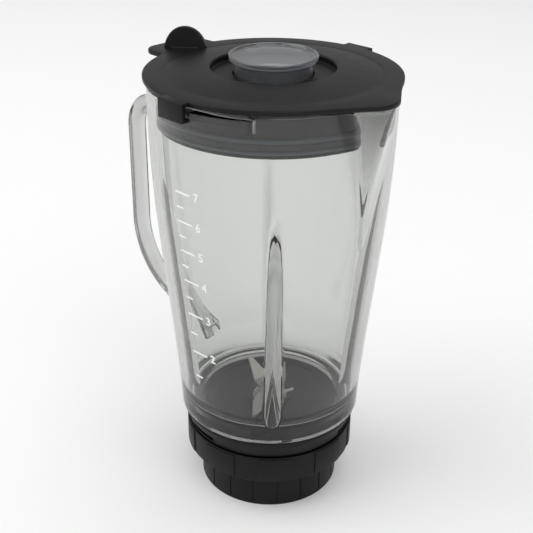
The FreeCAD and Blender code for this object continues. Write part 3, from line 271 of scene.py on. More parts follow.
# %% Outline and mesh helpers
def rounded(corners, closed=True, steps=4):
    """Turns (x, y, radius) corners into points, each corner with a radius as a small arc."""
    points = []
    count = len(corners)
    for i, corner in enumerate(corners):
        here = Vector(corner[:2])
        radius = corner[2] if len(corner) > 2 else 0
        if radius == 0 or (not closed and i in (0, count - 1)):
            points.append(here)
            continue
        back = (Vector(corners[i - 1][:2]) - here)
        ahead = (Vector(corners[(i + 1) % count][:2]) - here)
        half = back.angle(ahead) / 2
        reach = min(radius / math.tan(half), back.length * 0.49, ahead.length * 0.49)
        size = reach * math.tan(half)
        centre = here + (back.normalized() + ahead.normalized()).normalized() * (size / math.sin(half))
        first = here + back.normalized() * reach - centre
        last = here + ahead.normalized() * reach - centre
        sweep = first.angle_signed(last)
        for step in range(steps + 1):
            points.append(centre + Matrix.Rotation(-sweep * step / steps, 2) @ first)
    return points


def arc(centre, radius, start, stop, steps):
    """Points of an arc from start to stop, in degrees."""
    angles = [math.radians(start + (stop - start) * i / steps) for i in range(steps + 1)]
    return [Vector((centre[0] + radius * math.cos(a), centre[1] + radius * math.sin(a))) for a in angles]


def finish_mesh(bm, name, material, sharp_angle=38):
    """Turns a bmesh into an object with smooth faces and crisp edges past sharp_angle."""
    bmesh.ops.remove_doubles(bm, verts=bm.verts, dist=metres(0.004))
    bmesh.ops.recalc_face_normals(bm, faces=bm.faces)
    for face in bm.faces:
        face.smooth = True
    for edge in bm.edges:
        edge.smooth = not (edge.is_manifold and edge.calc_face_angle(0) > math.radians(sharp_angle))
    mesh = bpy.data.meshes.new(name)
    bm.to_mesh(mesh)
    bm.free()
    piece = bpy.data.objects.new(name, mesh)
    bpy.context.scene.collection.objects.link(piece)
    mesh.materials.append(material)
    return piece


def spin_into(bm, points, segments=160, closed=True):
    """Adds the turned shape of (radius, height) points, in millimetres, to a bmesh."""
    verts = [bm.verts.new((metres(p[0]), 0, metres(p[1]))) for p in points]
    pairs = zip(verts, verts[1:] + verts[:1]) if closed else zip(verts, verts[1:])
    edges = [bm.edges.new(pair) for pair in pairs]
    bmesh.ops.spin(bm, geom=verts + edges, cent=(0, 0, 0), axis=(0, 0, 1), angle=math.tau,
                   steps=segments, use_merge=True)


def raise_into(bm, points, bottom, height, edge=0.0, segments=3):
    """Adds a flat outline raised from bottom, with all its long edges rounded."""
    verts = [bm.verts.new((metres(p[0]), metres(p[1]), metres(bottom))) for p in points]
    face = bm.faces.new(verts)
    rest = bmesh.ops.extrude_face_region(bm, geom=[face])["geom"]
    top = [item for item in rest if isinstance(item, bmesh.types.BMVert)]
    bmesh.ops.translate(bm, verts=top, vec=(0, 0, metres(height)))
    if edge:
        flat = {f for f in rest if isinstance(f, bmesh.types.BMFace)} | {face}
        loops = {e for f in flat for e in f.edges}
        bmesh.ops.bevel(bm, geom=list(loops), offset=metres(edge), offset_type="OFFSET", affect="EDGES",
                        segments=segments, profile=0.5, material=-1, clamp_overlap=True)
    return verts + top


def turned_piece(name, corners, material, segments=160, steps=4):
    """A piece that is only a turned shape."""
    bm = bmesh.new()
    spin_into(bm, rounded(corners, steps=steps), segments)
    return finish_mesh(bm, name, material)


def fit(piece, body, slot, *nodes):
    """Lets a finished piece ride on a body and stand for CAD nodes."""
    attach(piece, body)
    if nodes:
        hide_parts(*nodes)
    print(piece.name, "on", body, "with", len(piece.data.polygons), "faces")
    return piece

# %% [markdown]
# ## Camera
# The jug is looked at from in front, from the right of the handle and about 27 degrees above
# the horizon, with a short telephoto lens. The camera comes first, so that every piece can be
# judged from one fixed place.

# %% Camera
CAMERA_AZIMUTH, CAMERA_DISTANCE, CAMERA_HEIGHT = 43.0, 563.5, 436.34
CAMERA_DIP, CAMERA_YAW, CAMERA_ROLL = 26.9, 0.29, 0.54
SENSOR, FOCAL_LENGTH = 36.0, 68.8

camera_data = bpy.data.cameras.new("view_camera")
camera_data.sensor_width = SENSOR
camera_data.lens = FOCAL_LENGTH
camera_data.clip_start, camera_data.clip_end = 0.01, 20
camera = bpy.data.objects.new("view_camera", camera_data)
bpy.context.scene.collection.objects.link(camera)
camera.matrix_world = (
    turn(CAMERA_AZIMUTH)
    @ Matrix.Translation((0, -metres(CAMERA_DISTANCE), metres(CAMERA_HEIGHT)))
    @ turn(CAMERA_YAW)
    @ Matrix.Rotation(math.radians(90 - CAMERA_DIP), 4, "X")
    @ turn(CAMERA_ROLL)
)
bpy.context.scene.camera = camera
print("camera at", [round(x, 4) for x in camera.matrix_world.translation])

# %% [markdown]
# ## The glass wall as numbers
# The jug's outside is a foot, a nearly straight cone and a gentle curve that ends upright at the
# rim. Its radius is a function of height, so rows of the mesh, the ribs, the spout and the scale
# all sit on the same wall. The drawn-out spout is a circle pulled to a round tip, with two flat
# flanks that touch both.

# %% Wall and spout radius
WALL = 4.5
NECK_BOTTOM, NECK_INNER, NECK_OUTER = 35.0, 44.3, 49.0
FOOT_UNDER, FOOT_SIDE, FOOT_OUTER = 57.0, 60.5, 57.3
WAIST, WAIST_OUTER = 100.0, 60.3
BEND_START, BEND_STOP, BEND_OUTER, RIM_OUTER = 172.0, 264.0, 67.5, 72.1
RIM_TOP = 271.4
SHELF = 64.0


def wall_radius(height):
    """Outer radius of the glass at a height."""
    if height < WAIST:
        share = (height - FOOT_SIDE) / (WAIST - FOOT_SIDE)
        hollow = (height - FOOT_SIDE) * (WAIST - height) / 1600
        return FOOT_OUTER + (WAIST_OUTER - FOOT_OUTER) * share - max(hollow, 0)
    if height < BEND_START:
        return WAIST_OUTER + (BEND_OUTER - WAIST_OUTER) * (height - WAIST) / (BEND_START - WAIST)
    return RIM_OUTER - max(BEND_STOP - height, 0) ** 2 / 1840


def soft_max(a, b, blend):
    """The larger of two values, with a fillet where they meet."""
    near = max(blend - abs(a - b), 0) / blend
    return max(a, b) + near * near * blend / 4


def teardrop_radius(angle, circle, reach, tip):
    """Distance from the axis to a circle drawn out to a round tip, at an angle from the tip."""
    centre = reach - tip
    if circle - tip >= centre:
        return circle
    lean = math.acos((circle - tip) / centre)
    touch = math.atan2(tip * math.sin(lean), centre + tip * math.cos(lean))
    if angle >= lean:
        return circle
    if angle >= touch:
        return circle / math.cos(lean - angle)
    return centre * math.cos(angle) + math.sqrt(tip ** 2 - (centre * math.sin(angle)) ** 2)


SPOUT_START = 186.0


def spout_radius(angle, height, inset):
    """Radius of the spout's surface; inset is 0 on the outside and the wall on the inside."""
    rise = (height - SPOUT_START) / (RIM_TOP - SPOUT_START)
    reach = 67.6 + 9.8 * rise + 6.6 * rise ** 2
    circle, tip = wall_radius(height) - 2.4 - inset, 10 + 4 * rise - inset
    return teardrop_radius(abs(angle), circle, reach - inset, tip)


print("spout reach at the rim", round(spout_radius(0, RIM_TOP, 0), 2), "mm")

# %% [markdown]
# ## Jug glass
# The jug is one piece of pressed glass: an open threaded neck below, a thick foot and floor, a
# wall with four inside ribs, a spout and a handle. A spun cross-section gives closed walls of
# true thickness, which glass needs to bend light properly. Its rows are then pushed out for the
# spout and the rim ledges and in for the ribs. The columns are spread so that they lie closer at
# the spout and the ribs.

# %% Jug cross-section
def jug_section():
    outer_rows = [63, 66, 70, 75, 80, 85, 90, 95, 100] + list(range(106, 173, 6)) + list(range(176, 262, 4))
    ledge_rows = [262.3, 262.6, 264, 266.15, 266.45, 268]
    inner_rows = [268, 266, 263] + list(range(260, 212, -4)) + list(range(210, 72, -2))
    section = rounded([
        (NECK_INNER, NECK_BOTTOM, 0.8), (NECK_OUTER, NECK_BOTTOM, 0.8), (NECK_OUTER, 46),
        (NECK_OUTER, FOOT_UNDER, 0.6), (FOOT_OUTER, FOOT_UNDER, 3.3), (FOOT_OUTER + 0.02, FOOT_SIDE + 0.1),
    ], closed=False, steps=6)
    section[0] = Vector((NECK_INNER + 0.8, NECK_BOTTOM))
    section += [Vector((wall_radius(z), z)) for z in outer_rows + ledge_rows]
    section += arc((RIM_OUTER - WALL / 2, RIM_TOP - WALL / 2), WALL / 2, 0, 180, 12)
    section += [Vector((wall_radius(z) - WALL, z)) for z in inner_rows]
    section += arc((43.8, SHELF + 9), 9, 0, -86, 10)
    section += [Vector((NECK_INNER, z)) for z in (SHELF - 0.6, 50, NECK_BOTTOM + 0.8)]
    return section


print("jug section has", len(jug_section()), "points")

# %% [markdown]
# The ribs stir the food back towards the blades. Each is a ridge with a sharp crest and flat
# flanks, and it narrows to a point two thirds up. The ledges at the rim are ramps that the lid's
# ears hook under, each with a stop block at its end.

# %% Ribs, ledges and the shaping of the glass
RIB_DEPTH, RIB_HALF, RIB_FULL, RIB_POINT = 7.0, 5.4, 168.0, 209.0
RIB_ARCH, RIB_RUN_OUT = 0.17, 0.7
LEDGE_REACH, LEDGE_START, LEDGE_STOP, BLOCK_START = 3.4, -82.2, -53.8, -57.0


def angle_between(angle, target):
    """Signed difference of two angles in degrees, from -180 to 180."""
    return (angle - target + 180) % 360 - 180


def rib_height(angle, radius, height):
    """How far the nearest rib stands out of the inner wall here."""
    aside = angle_between(angle * 4, 180) / 4
    if height >= RIB_POINT:
        return 0
    spread = RIB_HALF * ((RIB_POINT - height) / (RIB_POINT - SHELF)) ** RIB_ARCH
    across = abs(radius * math.sin(math.radians(aside))) / spread
    if across >= 1:
        return 0
    taper = min(1, (RIB_POINT - height) / (RIB_POINT - RIB_FULL)) ** RIB_RUN_OUT
    ridge = 1 - across
    return RIB_DEPTH * taper * ridge


def on_ledge(angle, height):
    """True on one of the two rim ledges or their stop blocks."""
    half = (angle + 180) % 180 - 180
    level = 266.3 if half < BLOCK_START else 262.5
    return LEDGE_START < half < LEDGE_STOP and level < height < 269.9


def shape_glass(vert):
    """Moves a vertex of the spun wall out for spout and ledge, and in for a rib."""
    radius = math.hypot(vert.co.x, vert.co.y) / MM
    height = vert.co.z / MM
    spun = math.atan2(vert.co.y, vert.co.x)
    angle = spun - math.sin(8 * spun) / 16
    depth = min(max((wall_radius(height) - radius) / WALL, 0), 1)
    if height > SPOUT_START:
        outer, inner = wall_radius(height), wall_radius(height) - WALL
        push_out = soft_max(outer, spout_radius(angle, height, 0), 2.2) - outer
        push_in = soft_max(inner, spout_radius(angle, height, WALL), 2.2) - inner
        radius += (1 - depth) * push_out + depth * push_in
    if depth < 0.2 and on_ledge(math.degrees(angle), height):
        radius = RIM_OUTER + LEDGE_REACH
    if depth > 0.99 and height > SHELF - 0.3:
        ridge = wall_radius(height) - WALL - rib_height(math.degrees(angle), radius, height)
        radius = min(radius, ridge)
    vert.co = (metres(radius) * math.cos(angle), metres(radius) * math.sin(angle), vert.co.z)


glass_bm = bmesh.new()
spin_into(glass_bm, jug_section(), segments=384)
for vert in glass_bm.verts:
    shape_glass(vert)
glass = finish_mesh(glass_bm, "jug_glass", GLASS, 50)
print("jug glass before its handle:", len(glass.data.polygons), "faces")

# %% [markdown]
# The handle is pressed in one with the jug. Its soft rectangular section is swept along a line
# of three straights and two bends, and grows where it melts into the wall. A Boolean union makes
# wall and handle one body of glass, with no skin between them.

# %% Handle
HANDLE_SIDE, HANDLE_RADIAL, HANDLE_ROUND = 11.5, 9.5, 3.8
ROOT_SWELL, SWELL_FADE = 0.42, 6.5


def handle_path():
    """Points of the handle's centre line in the XZ plane, from the lower root to the upper."""
    corners = [(-56.8, 82.4), (-123.4, 115.75, 50), (-123.4, 227.9, 20), (-69.5, 246.46)]
    bent = rounded(corners, closed=False, steps=12)
    points = [bent[0]]
    for point in bent[1:]:
        gap = (point - points[-1]).length
        pieces = max(1, round(gap / 6))
        start = points[-1]
        points += [start.lerp(point, i / pieces) for i in range(1, pieces + 1)]
    return points


def sweep_into(bm, outline, places):
    """Carries a flat outline through a list of placements, as a closed solid."""
    verts = [bm.verts.new(places[0] @ Vector((metres(x), metres(y), 0))) for x, y in outline]
    face = bm.faces.new(verts)
    start_cap = face
    for before, after in zip(places, places[1:]):
        grown = bmesh.ops.extrude_face_region(bm, geom=[face])["geom"]
        if face != start_cap:
            bmesh.ops.delete(bm, geom=[face], context="FACES_ONLY")
        face = next(item for item in grown if isinstance(item, bmesh.types.BMFace))
        bmesh.ops.transform(bm, matrix=after @ before.inverted(), verts=face.verts)


def handle_places():
    path = handle_path()
    lengths = [0]
    for a, b in zip(path, path[1:]):
        lengths.append(lengths[-1] + (b - a).length)
    places = []
    for i, point in enumerate(path):
        ahead = (path[min(i + 1, len(path) - 1)] - path[max(i - 1, 0)]).normalized()
        to_root = min(lengths[i] - 2, lengths[-1] - 3 - lengths[i])
        swell = 1 + ROOT_SWELL * math.exp(-(max(to_root, 0) / SWELL_FADE) ** 1.5)
        axes = Matrix(((0, ahead.y, ahead.x), (1, 0, 0), (0, -ahead.x, ahead.y))).to_4x4()
        place = Matrix.Translation((metres(point.x), 0, metres(point.y)))
        places.append(place @ axes @ Matrix.Scale(swell, 4))
    return places


half_side, half_radial = HANDLE_SIDE / 2, HANDLE_RADIAL / 2
handle_bm = bmesh.new()
sweep_into(handle_bm, rounded([
    (-half_side, -half_radial, HANDLE_ROUND), (half_side, -half_radial, HANDLE_ROUND),
    (half_side, half_radial, HANDLE_ROUND), (-half_side, half_radial, HANDLE_ROUND),
], steps=5), handle_places())
handle = finish_mesh(handle_bm, "jug_handle", GLASS, 50)


def unite(piece, other):
    """Replaces a piece's mesh by its union with another piece, which is then removed."""
    join = piece.modifiers.new("union", "BOOLEAN")
    join.operation, join.solver, join.object = "UNION", "EXACT", other
    evaluated = piece.evaluated_get(bpy.context.evaluated_depsgraph_get())
    mesh = bpy.data.meshes.new_from_object(evaluated)
    piece.modifiers.clear()
    bm = bmesh.new()
    bm.from_mesh(mesh)
    bpy.data.objects.remove(other)
    name, material = piece.name, mesh.materials[0]
    bpy.data.objects.remove(piece)
    return finish_mesh(bm, name, material, 50)


glass = unite(glass, handle)
fit(glass, "jug", "glass", "glass_jug")

# %% [markdown]
# ## Collar
# A black plastic collar grips the glass neck and carries the bayonet lugs. It is a turned ring
# with a flared skirt. Long slots are cut through the skirt where the moulding tool's slides
# reached in, so they are cut here with a Boolean difference against blocks shaped like ring
# sectors.

# %% Ring sectors
def sector_into(bm, inner, outer, start, sweep, bottom, height, edge=0.0):
    """Adds a block shaped like a piece of ring, its long edges rounded."""
    steps = max(3, round(sweep / 2.5))
    outline = arc((0, 0), inner, start, start + sweep, steps)
    outline += arc((0, 0), outer, start + sweep, start, steps)
    raise_into(bm, outline, bottom, height, edge, 2)


def around(count, first):
    """Angles of a pattern that is repeated evenly round the jug."""
    return [first + 360 * i / count for i in range(count)]


def cut(piece, cutter):
    """Takes a cutter out of a piece and removes the cutter."""
    away = piece.modifiers.new("cut", "BOOLEAN")
    away.operation, away.solver, away.object = "DIFFERENCE", "EXACT", cutter
    evaluated = piece.evaluated_get(bpy.context.evaluated_depsgraph_get())
    mesh = bpy.data.meshes.new_from_object(evaluated)
    bm = bmesh.new()
    bm.from_mesh(mesh)
    name, material = piece.name, mesh.materials[0]
    bpy.data.objects.remove(piece)
    bpy.data.objects.remove(cutter)
    return finish_mesh(bm, name, material)


# %% Collar
collar_bm = bmesh.new()
spin_into(collar_bm, rounded([
    (49.15, 36.0, 0.3), (50.75, 36.0, 0.3), (50.75, 44.6, 0.3), (52.6, 44.6, 0.4), (53.4, 48.0, 3.0),
    (54.6, 52.4, 2.0), (56.0, 54.4, 0.8), (56.0, 56.6, 0.5), (54.4, 56.6, 0.3), (54.4, 56.2, 0.1),
    (49.15, 56.2, 0.2),
]), 240)
collar = finish_mesh(collar_bm, "neck_collar", BASE_BLACK)
slot_bm = bmesh.new()
for angle in around(3, -112):
    sector_into(slot_bm, 51.4, 58, angle, 24, 46.1, 3.4)
collar = cut(collar, finish_mesh(slot_bm, "slot_cutter", BASE_BLACK))
collar_bm = bmesh.new()
collar_bm.from_mesh(collar.data)
for angle in around(3, -112):
    sector_into(collar_bm, 50.0, 52.05, angle, 34, 39.4, 2.4, 0.3)
    sector_into(collar_bm, 50.0, 52.05, angle + 30, 4, 36.0, 4.6, 0.3)
bpy.data.objects.remove(collar)
fit(finish_mesh(collar_bm, "jug_collar_moulded", BASE_BLACK), "jug", "black_plastic", "jug_collar")

# %% [markdown]
# ## Locking ring
# The ring screws the blade carrier to the neck. Nine raised pads round it give the fingers a
# hold, and their feet stand a little lower than the wall between them, so the lower edge steps
# in and out. It is made as a turned ring with rounded sectors grown on it.

# %% Locking ring
ring_bm = bmesh.new()
spin_into(ring_bm, rounded([
    (45.3, 25.6, 0.3), (53.6, 25.6, 0.8), (53.6, 43.6, 0.5), (52.4, 43.6, 0.4), (52.4, 28.8, 0.5),
    (45.3, 28.8, 0.3),
]), 240)
for angle in around(9, -94):
    sector_into(ring_bm, 53.0, 54.2, angle, 23, 26.4, 16.4, 0.35)
for angle in around(3, -112 + 34 - 4 - 28 - 0.7):
    sector_into(ring_bm, 51.1, 53.0, angle, 28, 36.65, 2.4, 0.3)
fit(finish_mesh(ring_bm, "locking_ring_moulded", BASE_BLACK), "ring", "black_plastic", "locking_ring")

# %% [markdown]
# ## Blade carrier
# The carrier is the jug's false floor: a skirt that stands on the table, a flange under the
# ring, and a cup with a gently dished floor round the bearing's hub. Eighteen shallow grooves
# run up the skirt, cut from the turned shape with a Boolean difference. Webs stiffen it from below.

# %% Blade carrier
carrier_bm = bmesh.new()
spin_into(carrier_bm, rounded([
    (42.5, 0, 0.3), (44.9, 0, 0.8), (44.9, 25.1, 0.1), (44.4, 25.1, 0.1), (44.4, 29.2, 0.3),
    (50.2, 29.2, 0.3), (50.2, 32.4, 0.3), (43.8, 32.4, 0.5), (43.8, 54.0, 0.6), (41.4, 54.0, 1.5),
    (28.4, 52.4, 20), (15.0, 53.0, 3.0), (13.0, 54.0, 1.0), (13.0, 57.0, 1.0), (8.02, 57.0, 0.2),
    (8.02, 35.5, 0.2), (11.5, 35.5, 0.5), (11.5, 49.4, 1.5), (41.4, 51.0, 2.0), (41.4, 29.2, 0.5),
    (42.5, 27.7, 0.3),
]), 240)
carrier = finish_mesh(carrier_bm, "carrier", BASE_BLACK)
groove_bm = bmesh.new()
for angle in around(18, 0):
    before = set(groove_bm.verts)
    raise_into(groove_bm, [(44.5, -0.5), (46, -0.8), (46, 0.8), (44.5, 0.5)], 2.4, 20.8)
    bmesh.ops.transform(groove_bm, matrix=turn(angle), verts=list(set(groove_bm.verts) - before))
carrier = cut(carrier, finish_mesh(groove_bm, "groove_cutter", BASE_BLACK))
carrier_bm = bmesh.new()
carrier_bm.from_mesh(carrier.data)
for angle in around(6, 0):
    before = set(carrier_bm.verts)
    raise_into(carrier_bm, [(10.5, -1), (42.6, -1), (42.6, 1), (10.5, 1)], 40, 10.5, 0.3, 1)
    bmesh.ops.transform(carrier_bm, matrix=turn(angle), verts=list(set(carrier_bm.verts) - before))
bpy.data.objects.remove(carrier)
carrier = finish_mesh(carrier_bm, "blade_carrier_moulded", BASE_BLACK)
carrier.data.materials.append(FLOOR_BLACK)
for face in carrier.data.polygons:
    face.material_index = int(face.center.z > metres(51.5) and face.normal.z > 0.3)
fit(carrier, "jug", "black_plastic", "blade_base")

# %% [markdown]
# ## Blades
# Two pairs of wings are stamped from strip, bent and ground along the leading edge. Each is an
# outline raised to the sheet's thickness. The wings are bent after that: everything past the
# fold line turns about it. The ground edge is the leading corner brought down to a thin line.

# %% Blades
BLADE_THICK, GROUND_WIDTH, EDGE_THICK = 1.5, 2.4, 0.15


def blade_outline(flat, reach):
    """Half of a strip seen from above: the leading side tapers more than the trailing side."""
    right = [
        (flat * 0.7, -6.0, 3), (flat + 2, -5.6, 3), (reach, 0.4, 0.4), (reach - 0.4, 2.6, 0.6),
        (flat + 2, 5.4, 6), (flat * 0.7, 6.0, 4),
    ]
    return right + [(-x, -y, r) for x, y, r in right]


def make_blade(name, node, bottom, flat, reach, bend, angle):
    bm = bmesh.new()
    raise_into(bm, rounded(blade_outline(flat, reach), steps=5), bottom, BLADE_THICK)
    for offset in (flat, flat + 1, -flat, -flat - 1):
        everything = list(bm.verts) + list(bm.edges) + list(bm.faces)
        bmesh.ops.bisect_plane(bm, geom=everything, plane_co=(metres(offset), 0, 0), plane_no=(1, 0, 0))
    for side in (1, -1):
        start = Vector((flat + 2, -5.6, 0)) * side
        ground = Vector((reach - 0.4, 2.4, 0)) * side - start
        inward = Vector((-ground.y, ground.x, 0)).normalized()
        everything = list(bm.verts) + list(bm.edges) + list(bm.faces)
        bmesh.ops.bisect_plane(bm, geom=everything, plane_co=start * MM, plane_no=inward)
        for vert in bm.verts:
            past = (start - vert.co / MM).dot(inward)
            upper = vert.co.z > metres(bottom + BLADE_THICK / 2)
            if upper and past > 0.01 and vert.co.x * side > metres(flat):
                vert.co.z -= metres(min(past / GROUND_WIDTH, 1) * (BLADE_THICK - EDGE_THICK))
    for vert in bm.verts:
        out = abs(vert.co.x) / MM
        if out > flat:
            share = min(out - flat, 1)
            about = Matrix.Translation((math.copysign(metres(flat), vert.co.x), 0, metres(bottom)))
            sense = -math.copysign(math.radians(bend * share), vert.co.x)
            vert.co = about @ Matrix.Rotation(sense, 4, "Y") @ about.inverted() @ vert.co
    bmesh.ops.transform(bm, matrix=turn(angle), verts=bm.verts)
    fit(finish_mesh(bm, name, ROLLED, 20), "rotor", "blade_steel", node)


make_blade("lower_blade_ground", "lower_blade", bottom=59.7, flat=15, reach=34, bend=-6, angle=-66)
make_blade("upper_blade_ground", "upper_blade", bottom=62.7, flat=10, reach=29, bend=38, angle=-15)

# %% [markdown]
# The blade nut is a domed cap nut: a turned blank whose sides are milled to a hexagon. A
# hexagonal outline is raised, its corners are chamfered by the turning, and the dome is a
# turned shape above it.

# %% Blade nut
def hexagon(flats, rounding=0.4):
    corner = flats / math.sqrt(3)
    return rounded([(corner * math.cos(math.radians(a)), corner * math.sin(math.radians(a)), rounding)
                    for a in range(0, 360, 60)], steps=2)


nut_bm = bmesh.new()
raise_into(nut_bm, hexagon(10), 65.0, 4.0, 0.35, 2)
dome = [Vector((point.x, 69 + (point.y - 69) * 3 / 4.5)) for point in arc((0, 69.0), 4.5, 0, 90, 10)]
spin_into(nut_bm, [Vector((0, 68.5)), Vector((4.5, 68.5))] + dome, 48)
fit(finish_mesh(nut_bm, "blade_cap_nut", TURNED), "rotor", "steel", "blade_nut")

# %% [markdown]
# ## Lid
# The lid is moulded in one: a plate with the spout's cover and a tab over the handle, a low
# dome round a sunken well, a tube for the filler cap, a plug that goes into the jug, two hook
# ears and a thumb fin. It is built from closed, rounded solids that reach into each other.

# %% Lid body
PLATE_BOTTOM, PLATE_TOP = 271.8, 274.8
lid_bm = bmesh.new()
spin_into(lid_bm, rounded([
    (20.9, 260.5, 0.4), (25.1, 260.5, 0.6), (25.1, 271.1, 1.2), (38.3, 271.1, 2), (58.5, 272.0, 1.0),
    (60.3, 271.9, 0.5), (60.3, 246.6, 0.4), (65.6, 246.6, 0.5), (65.6, 248.0, 0.4), (62.8, 248.0, 0.2),
    (62.8, 257.4, 0.2), (64.4, 257.4, 0.3), (64.4, 272.4, 0.2), (66.0, 273.5, 0.2), (66.0, 274.55, 0.3),
    (61.0, 274.82, 9), (50.5, 276.35, 30), (36.4, 277.75, 0.9), (35.8, 276.9, 0.6), (35.8, 273.6, 0.7),
    (23.1, 273.6, 0.6),
    (23.1, 262.1, 0.3), (20.9, 262.1, 0.3),
], steps=6), 288)
print("lid body turned,", len(lid_bm.faces), "faces")


# %% Lid plate, with the spout's cover and the handle tab
def tab_radius(angle):
    """Distance from the axis to the end of the rounded tab, at an angle from the handle."""
    end, half, corner = 89.5, 21.0, 9.0
    across = math.tan(angle)
    if abs(across) < (half - corner) / end:
        return end / math.cos(angle)
    centre = Vector((end - corner, half - corner))
    ray = Vector((math.cos(angle), math.sin(angle)))
    along = centre.dot(ray)
    left = corner ** 2 - (centre.length_squared - along ** 2)
    reach = along + math.sqrt(left) if left > 0 else 0
    if left > 0 and (ray * reach).x >= centre.x:
        return reach
    return half / max(math.sin(angle), 0.05)


def plate_outline():
    points = []
    for step in range(720):
        angle = math.radians(step / 2)
        from_spout = abs(angle_between(step / 2, 0))
        from_handle = abs(angle_between(step / 2, 180))
        radius = soft_max(74.0, teardrop_radius(math.radians(from_spout), 72.8, 85.8, 15.8), 1.6)
        if from_handle < 40:
            radius = soft_max(radius, tab_radius(math.radians(from_handle)), 1.6)
        points.append(Vector((radius * math.cos(angle), radius * math.sin(angle))))
    return points


def loop_into(bm, points, height):
    """Adds a closed loop of edges at a height."""
    verts = [bm.verts.new((metres(p[0]), metres(p[1]), metres(height))) for p in points]
    return [bm.edges.new(pair) for pair in zip(verts, verts[1:] + verts[:1])]


def plate_into(bm, outer, inner, bottom, height, edge):
    """Adds a flat plate between two outlines, with its outer edges rounded."""
    rims = loop_into(bm, outer, bottom)
    faces = bmesh.ops.bridge_loops(bm, edges=rims + loop_into(bm, inner, bottom))["faces"]
    grown = bmesh.ops.extrude_face_region(bm, geom=faces, use_keep_orig=True)["geom"]
    top = [item for item in grown if isinstance(item, bmesh.types.BMVert)]
    bmesh.ops.translate(bm, verts=top, vec=(0, 0, metres(height)))
    limit = min(math.hypot(*p) for p in outer) - 1
    long_edges = {e for v in {v for rim in rims for v in rim.verts} | set(top) for e in v.link_edges}
    chosen = [e for e in long_edges if abs(e.verts[0].co.z - e.verts[1].co.z) < metres(0.01)
              and all(math.hypot(v.co.x, v.co.y) > metres(limit) for v in e.verts)]
    bmesh.ops.bevel(bm, geom=chosen, offset=metres(edge), offset_type="OFFSET", affect="EDGES",
                    segments=3, profile=0.5, material=-1)


inner_edge = arc((0, 0), 63, 0, 359.5, 719)
plate_into(lid_bm, plate_outline(), inner_edge, PLATE_BOTTOM, PLATE_TOP - PLATE_BOTTOM, 0.8)
print("with plate,", len(lid_bm.faces), "faces")

# %% [markdown]
# The ears are hooks: each hangs from the plate, and its foot points inwards to catch a ledge of
# the glass. A side outline is drawn once, given its width, and set up at both sides. The thumb
# fin is a half-ellipse that stands on the plate by the handle, with a soft foot.

# %% Ears and thumb fin
def stand_into(bm, outline, width, place, edge, segments=3):
    """Raises an outline by its width, centred, and sets the solid in its place."""
    before = set(bm.verts)
    raise_into(bm, outline, -width / 2, width, edge, segments)
    bmesh.ops.transform(bm, matrix=place, verts=list(set(bm.verts) - before))


UPRIGHT = Matrix.Rotation(math.radians(90), 4, "X")
EAR_SIDE = rounded([
    (-66, 272.2), (-66, PLATE_TOP - 0.04), (-78.6, PLATE_TOP - 0.04, 0.6), (-78.6, 263.8, 0.6),
    (-72.7, 263.8, 0.6),
    (-72.7, 265.7, 0.6), (-76, 265.7, 0.5), (-76, 272.2, 0.5),
], steps=3)
for side in (0, 180):
    stand_into(lid_bm, EAR_SIDE, 18.7, turn(side + 90) @ UPRIGHT, 0.5, 2)
FIN_PLACE, FIN_TURN, FIN_HALF, FIN_TOP = Vector((-73.0, -0.5)), 40, 12.5, 287.2
fin_foot = 274
fin_outline = [
    Vector((FIN_HALF * math.cos(math.radians(a)), fin_foot + (FIN_TOP - fin_foot) * math.sin(math.radians(a))))
    for a in range(0, 181, 6)
]
fin_outline += [Vector((-FIN_HALF, 273.2)), Vector((FIN_HALF, 273.2))]
FIN_STAND = Matrix.Translation((metres(FIN_PLACE.x), metres(FIN_PLACE.y), 0)) @ turn(FIN_TURN)
before = set(lid_bm.verts)
stand_into(lid_bm, fin_outline, 7.0, UPRIGHT, 1.3, 4)
fin_verts = list(set(lid_bm.verts) - before)
for vert in fin_verts:
    vert.co.y *= 1 - 0.5 * max(0, min(1, (vert.co.z / MM - 275) / 9))
bmesh.ops.transform(lid_bm, matrix=FIN_STAND, verts=fin_verts)
before = set(lid_bm.verts)
foot = [((FIN_HALF + 0.6) * math.cos(a * math.tau / 64), 4.6 * math.sin(a * math.tau / 64))
        for a in range(64)]
raise_into(lid_bm, foot, 273.6, PLATE_TOP - 273.6 + 0.9, 0.8, 3)
bmesh.ops.transform(lid_bm, matrix=FIN_STAND, verts=list(set(lid_bm.verts) - before))
fit(finish_mesh(lid_bm, "lid_moulded", LID_BLACK, 40), "lid", "lid_plastic", "lid")

# %% [markdown]
# ## Lid seal and filler cap
# The seal is a soft ring with two thin lips that bend against the glass. The cap is a clear
# smoke-grey cup turned upside down: a shallow dish inside a raised rim, and a hollow body that
# plugs the tube. Both are turned shapes with true walls. Where the silicone lies thin on the
# black plug, those faces take a darker silicone colour than the free lips. This is painted shade
# standing in for the black plug seen through the silicone.

# %% Seal and cap
seal = turned_piece("lid_seal_lipped", [
    (62.88, 248.08, 0.2), (64.7, 248.08, 0.3), (66.9, 249.2, 0.5), (67.1, 250.6, 0.4), (64.9, 250.4, 0.6),
    (64.9, 254.4, 0.6), (66.9, 255.6, 0.5), (67.1, 257.0, 0.4), (65.2, 257.32, 0.3), (62.88, 257.32, 0.2),
], SILICONE, 288)
seal.data.materials.append(SILICONE_PAINTED_SHADE)
# Faces inside 65.3 mm radius or below 249 mm take the darker silicone: painted shade for the black plug seen
# through it.
for face in seal.data.polygons:
    face.material_index = int(face.center.xy.length < metres(65.3) or face.center.z < metres(249.0))
fit(seal, "seal", "silicone", "lid_seal")
cap_bm = bmesh.new()
spin_into(cap_bm, rounded([
    (20.5, 262.4, 0.4), (22.5, 262.4, 0.4), (22.5, 281.5, 0.8), (25.5, 281.5, 0.7), (25.5, 284.4, 0.8),
    (23.9, 284.4, 0.5), (23.1, 283.2, 0.8), (0, 282.9), (0, 280.9), (20.5, 280.9, 1.0),
], steps=5), 192)
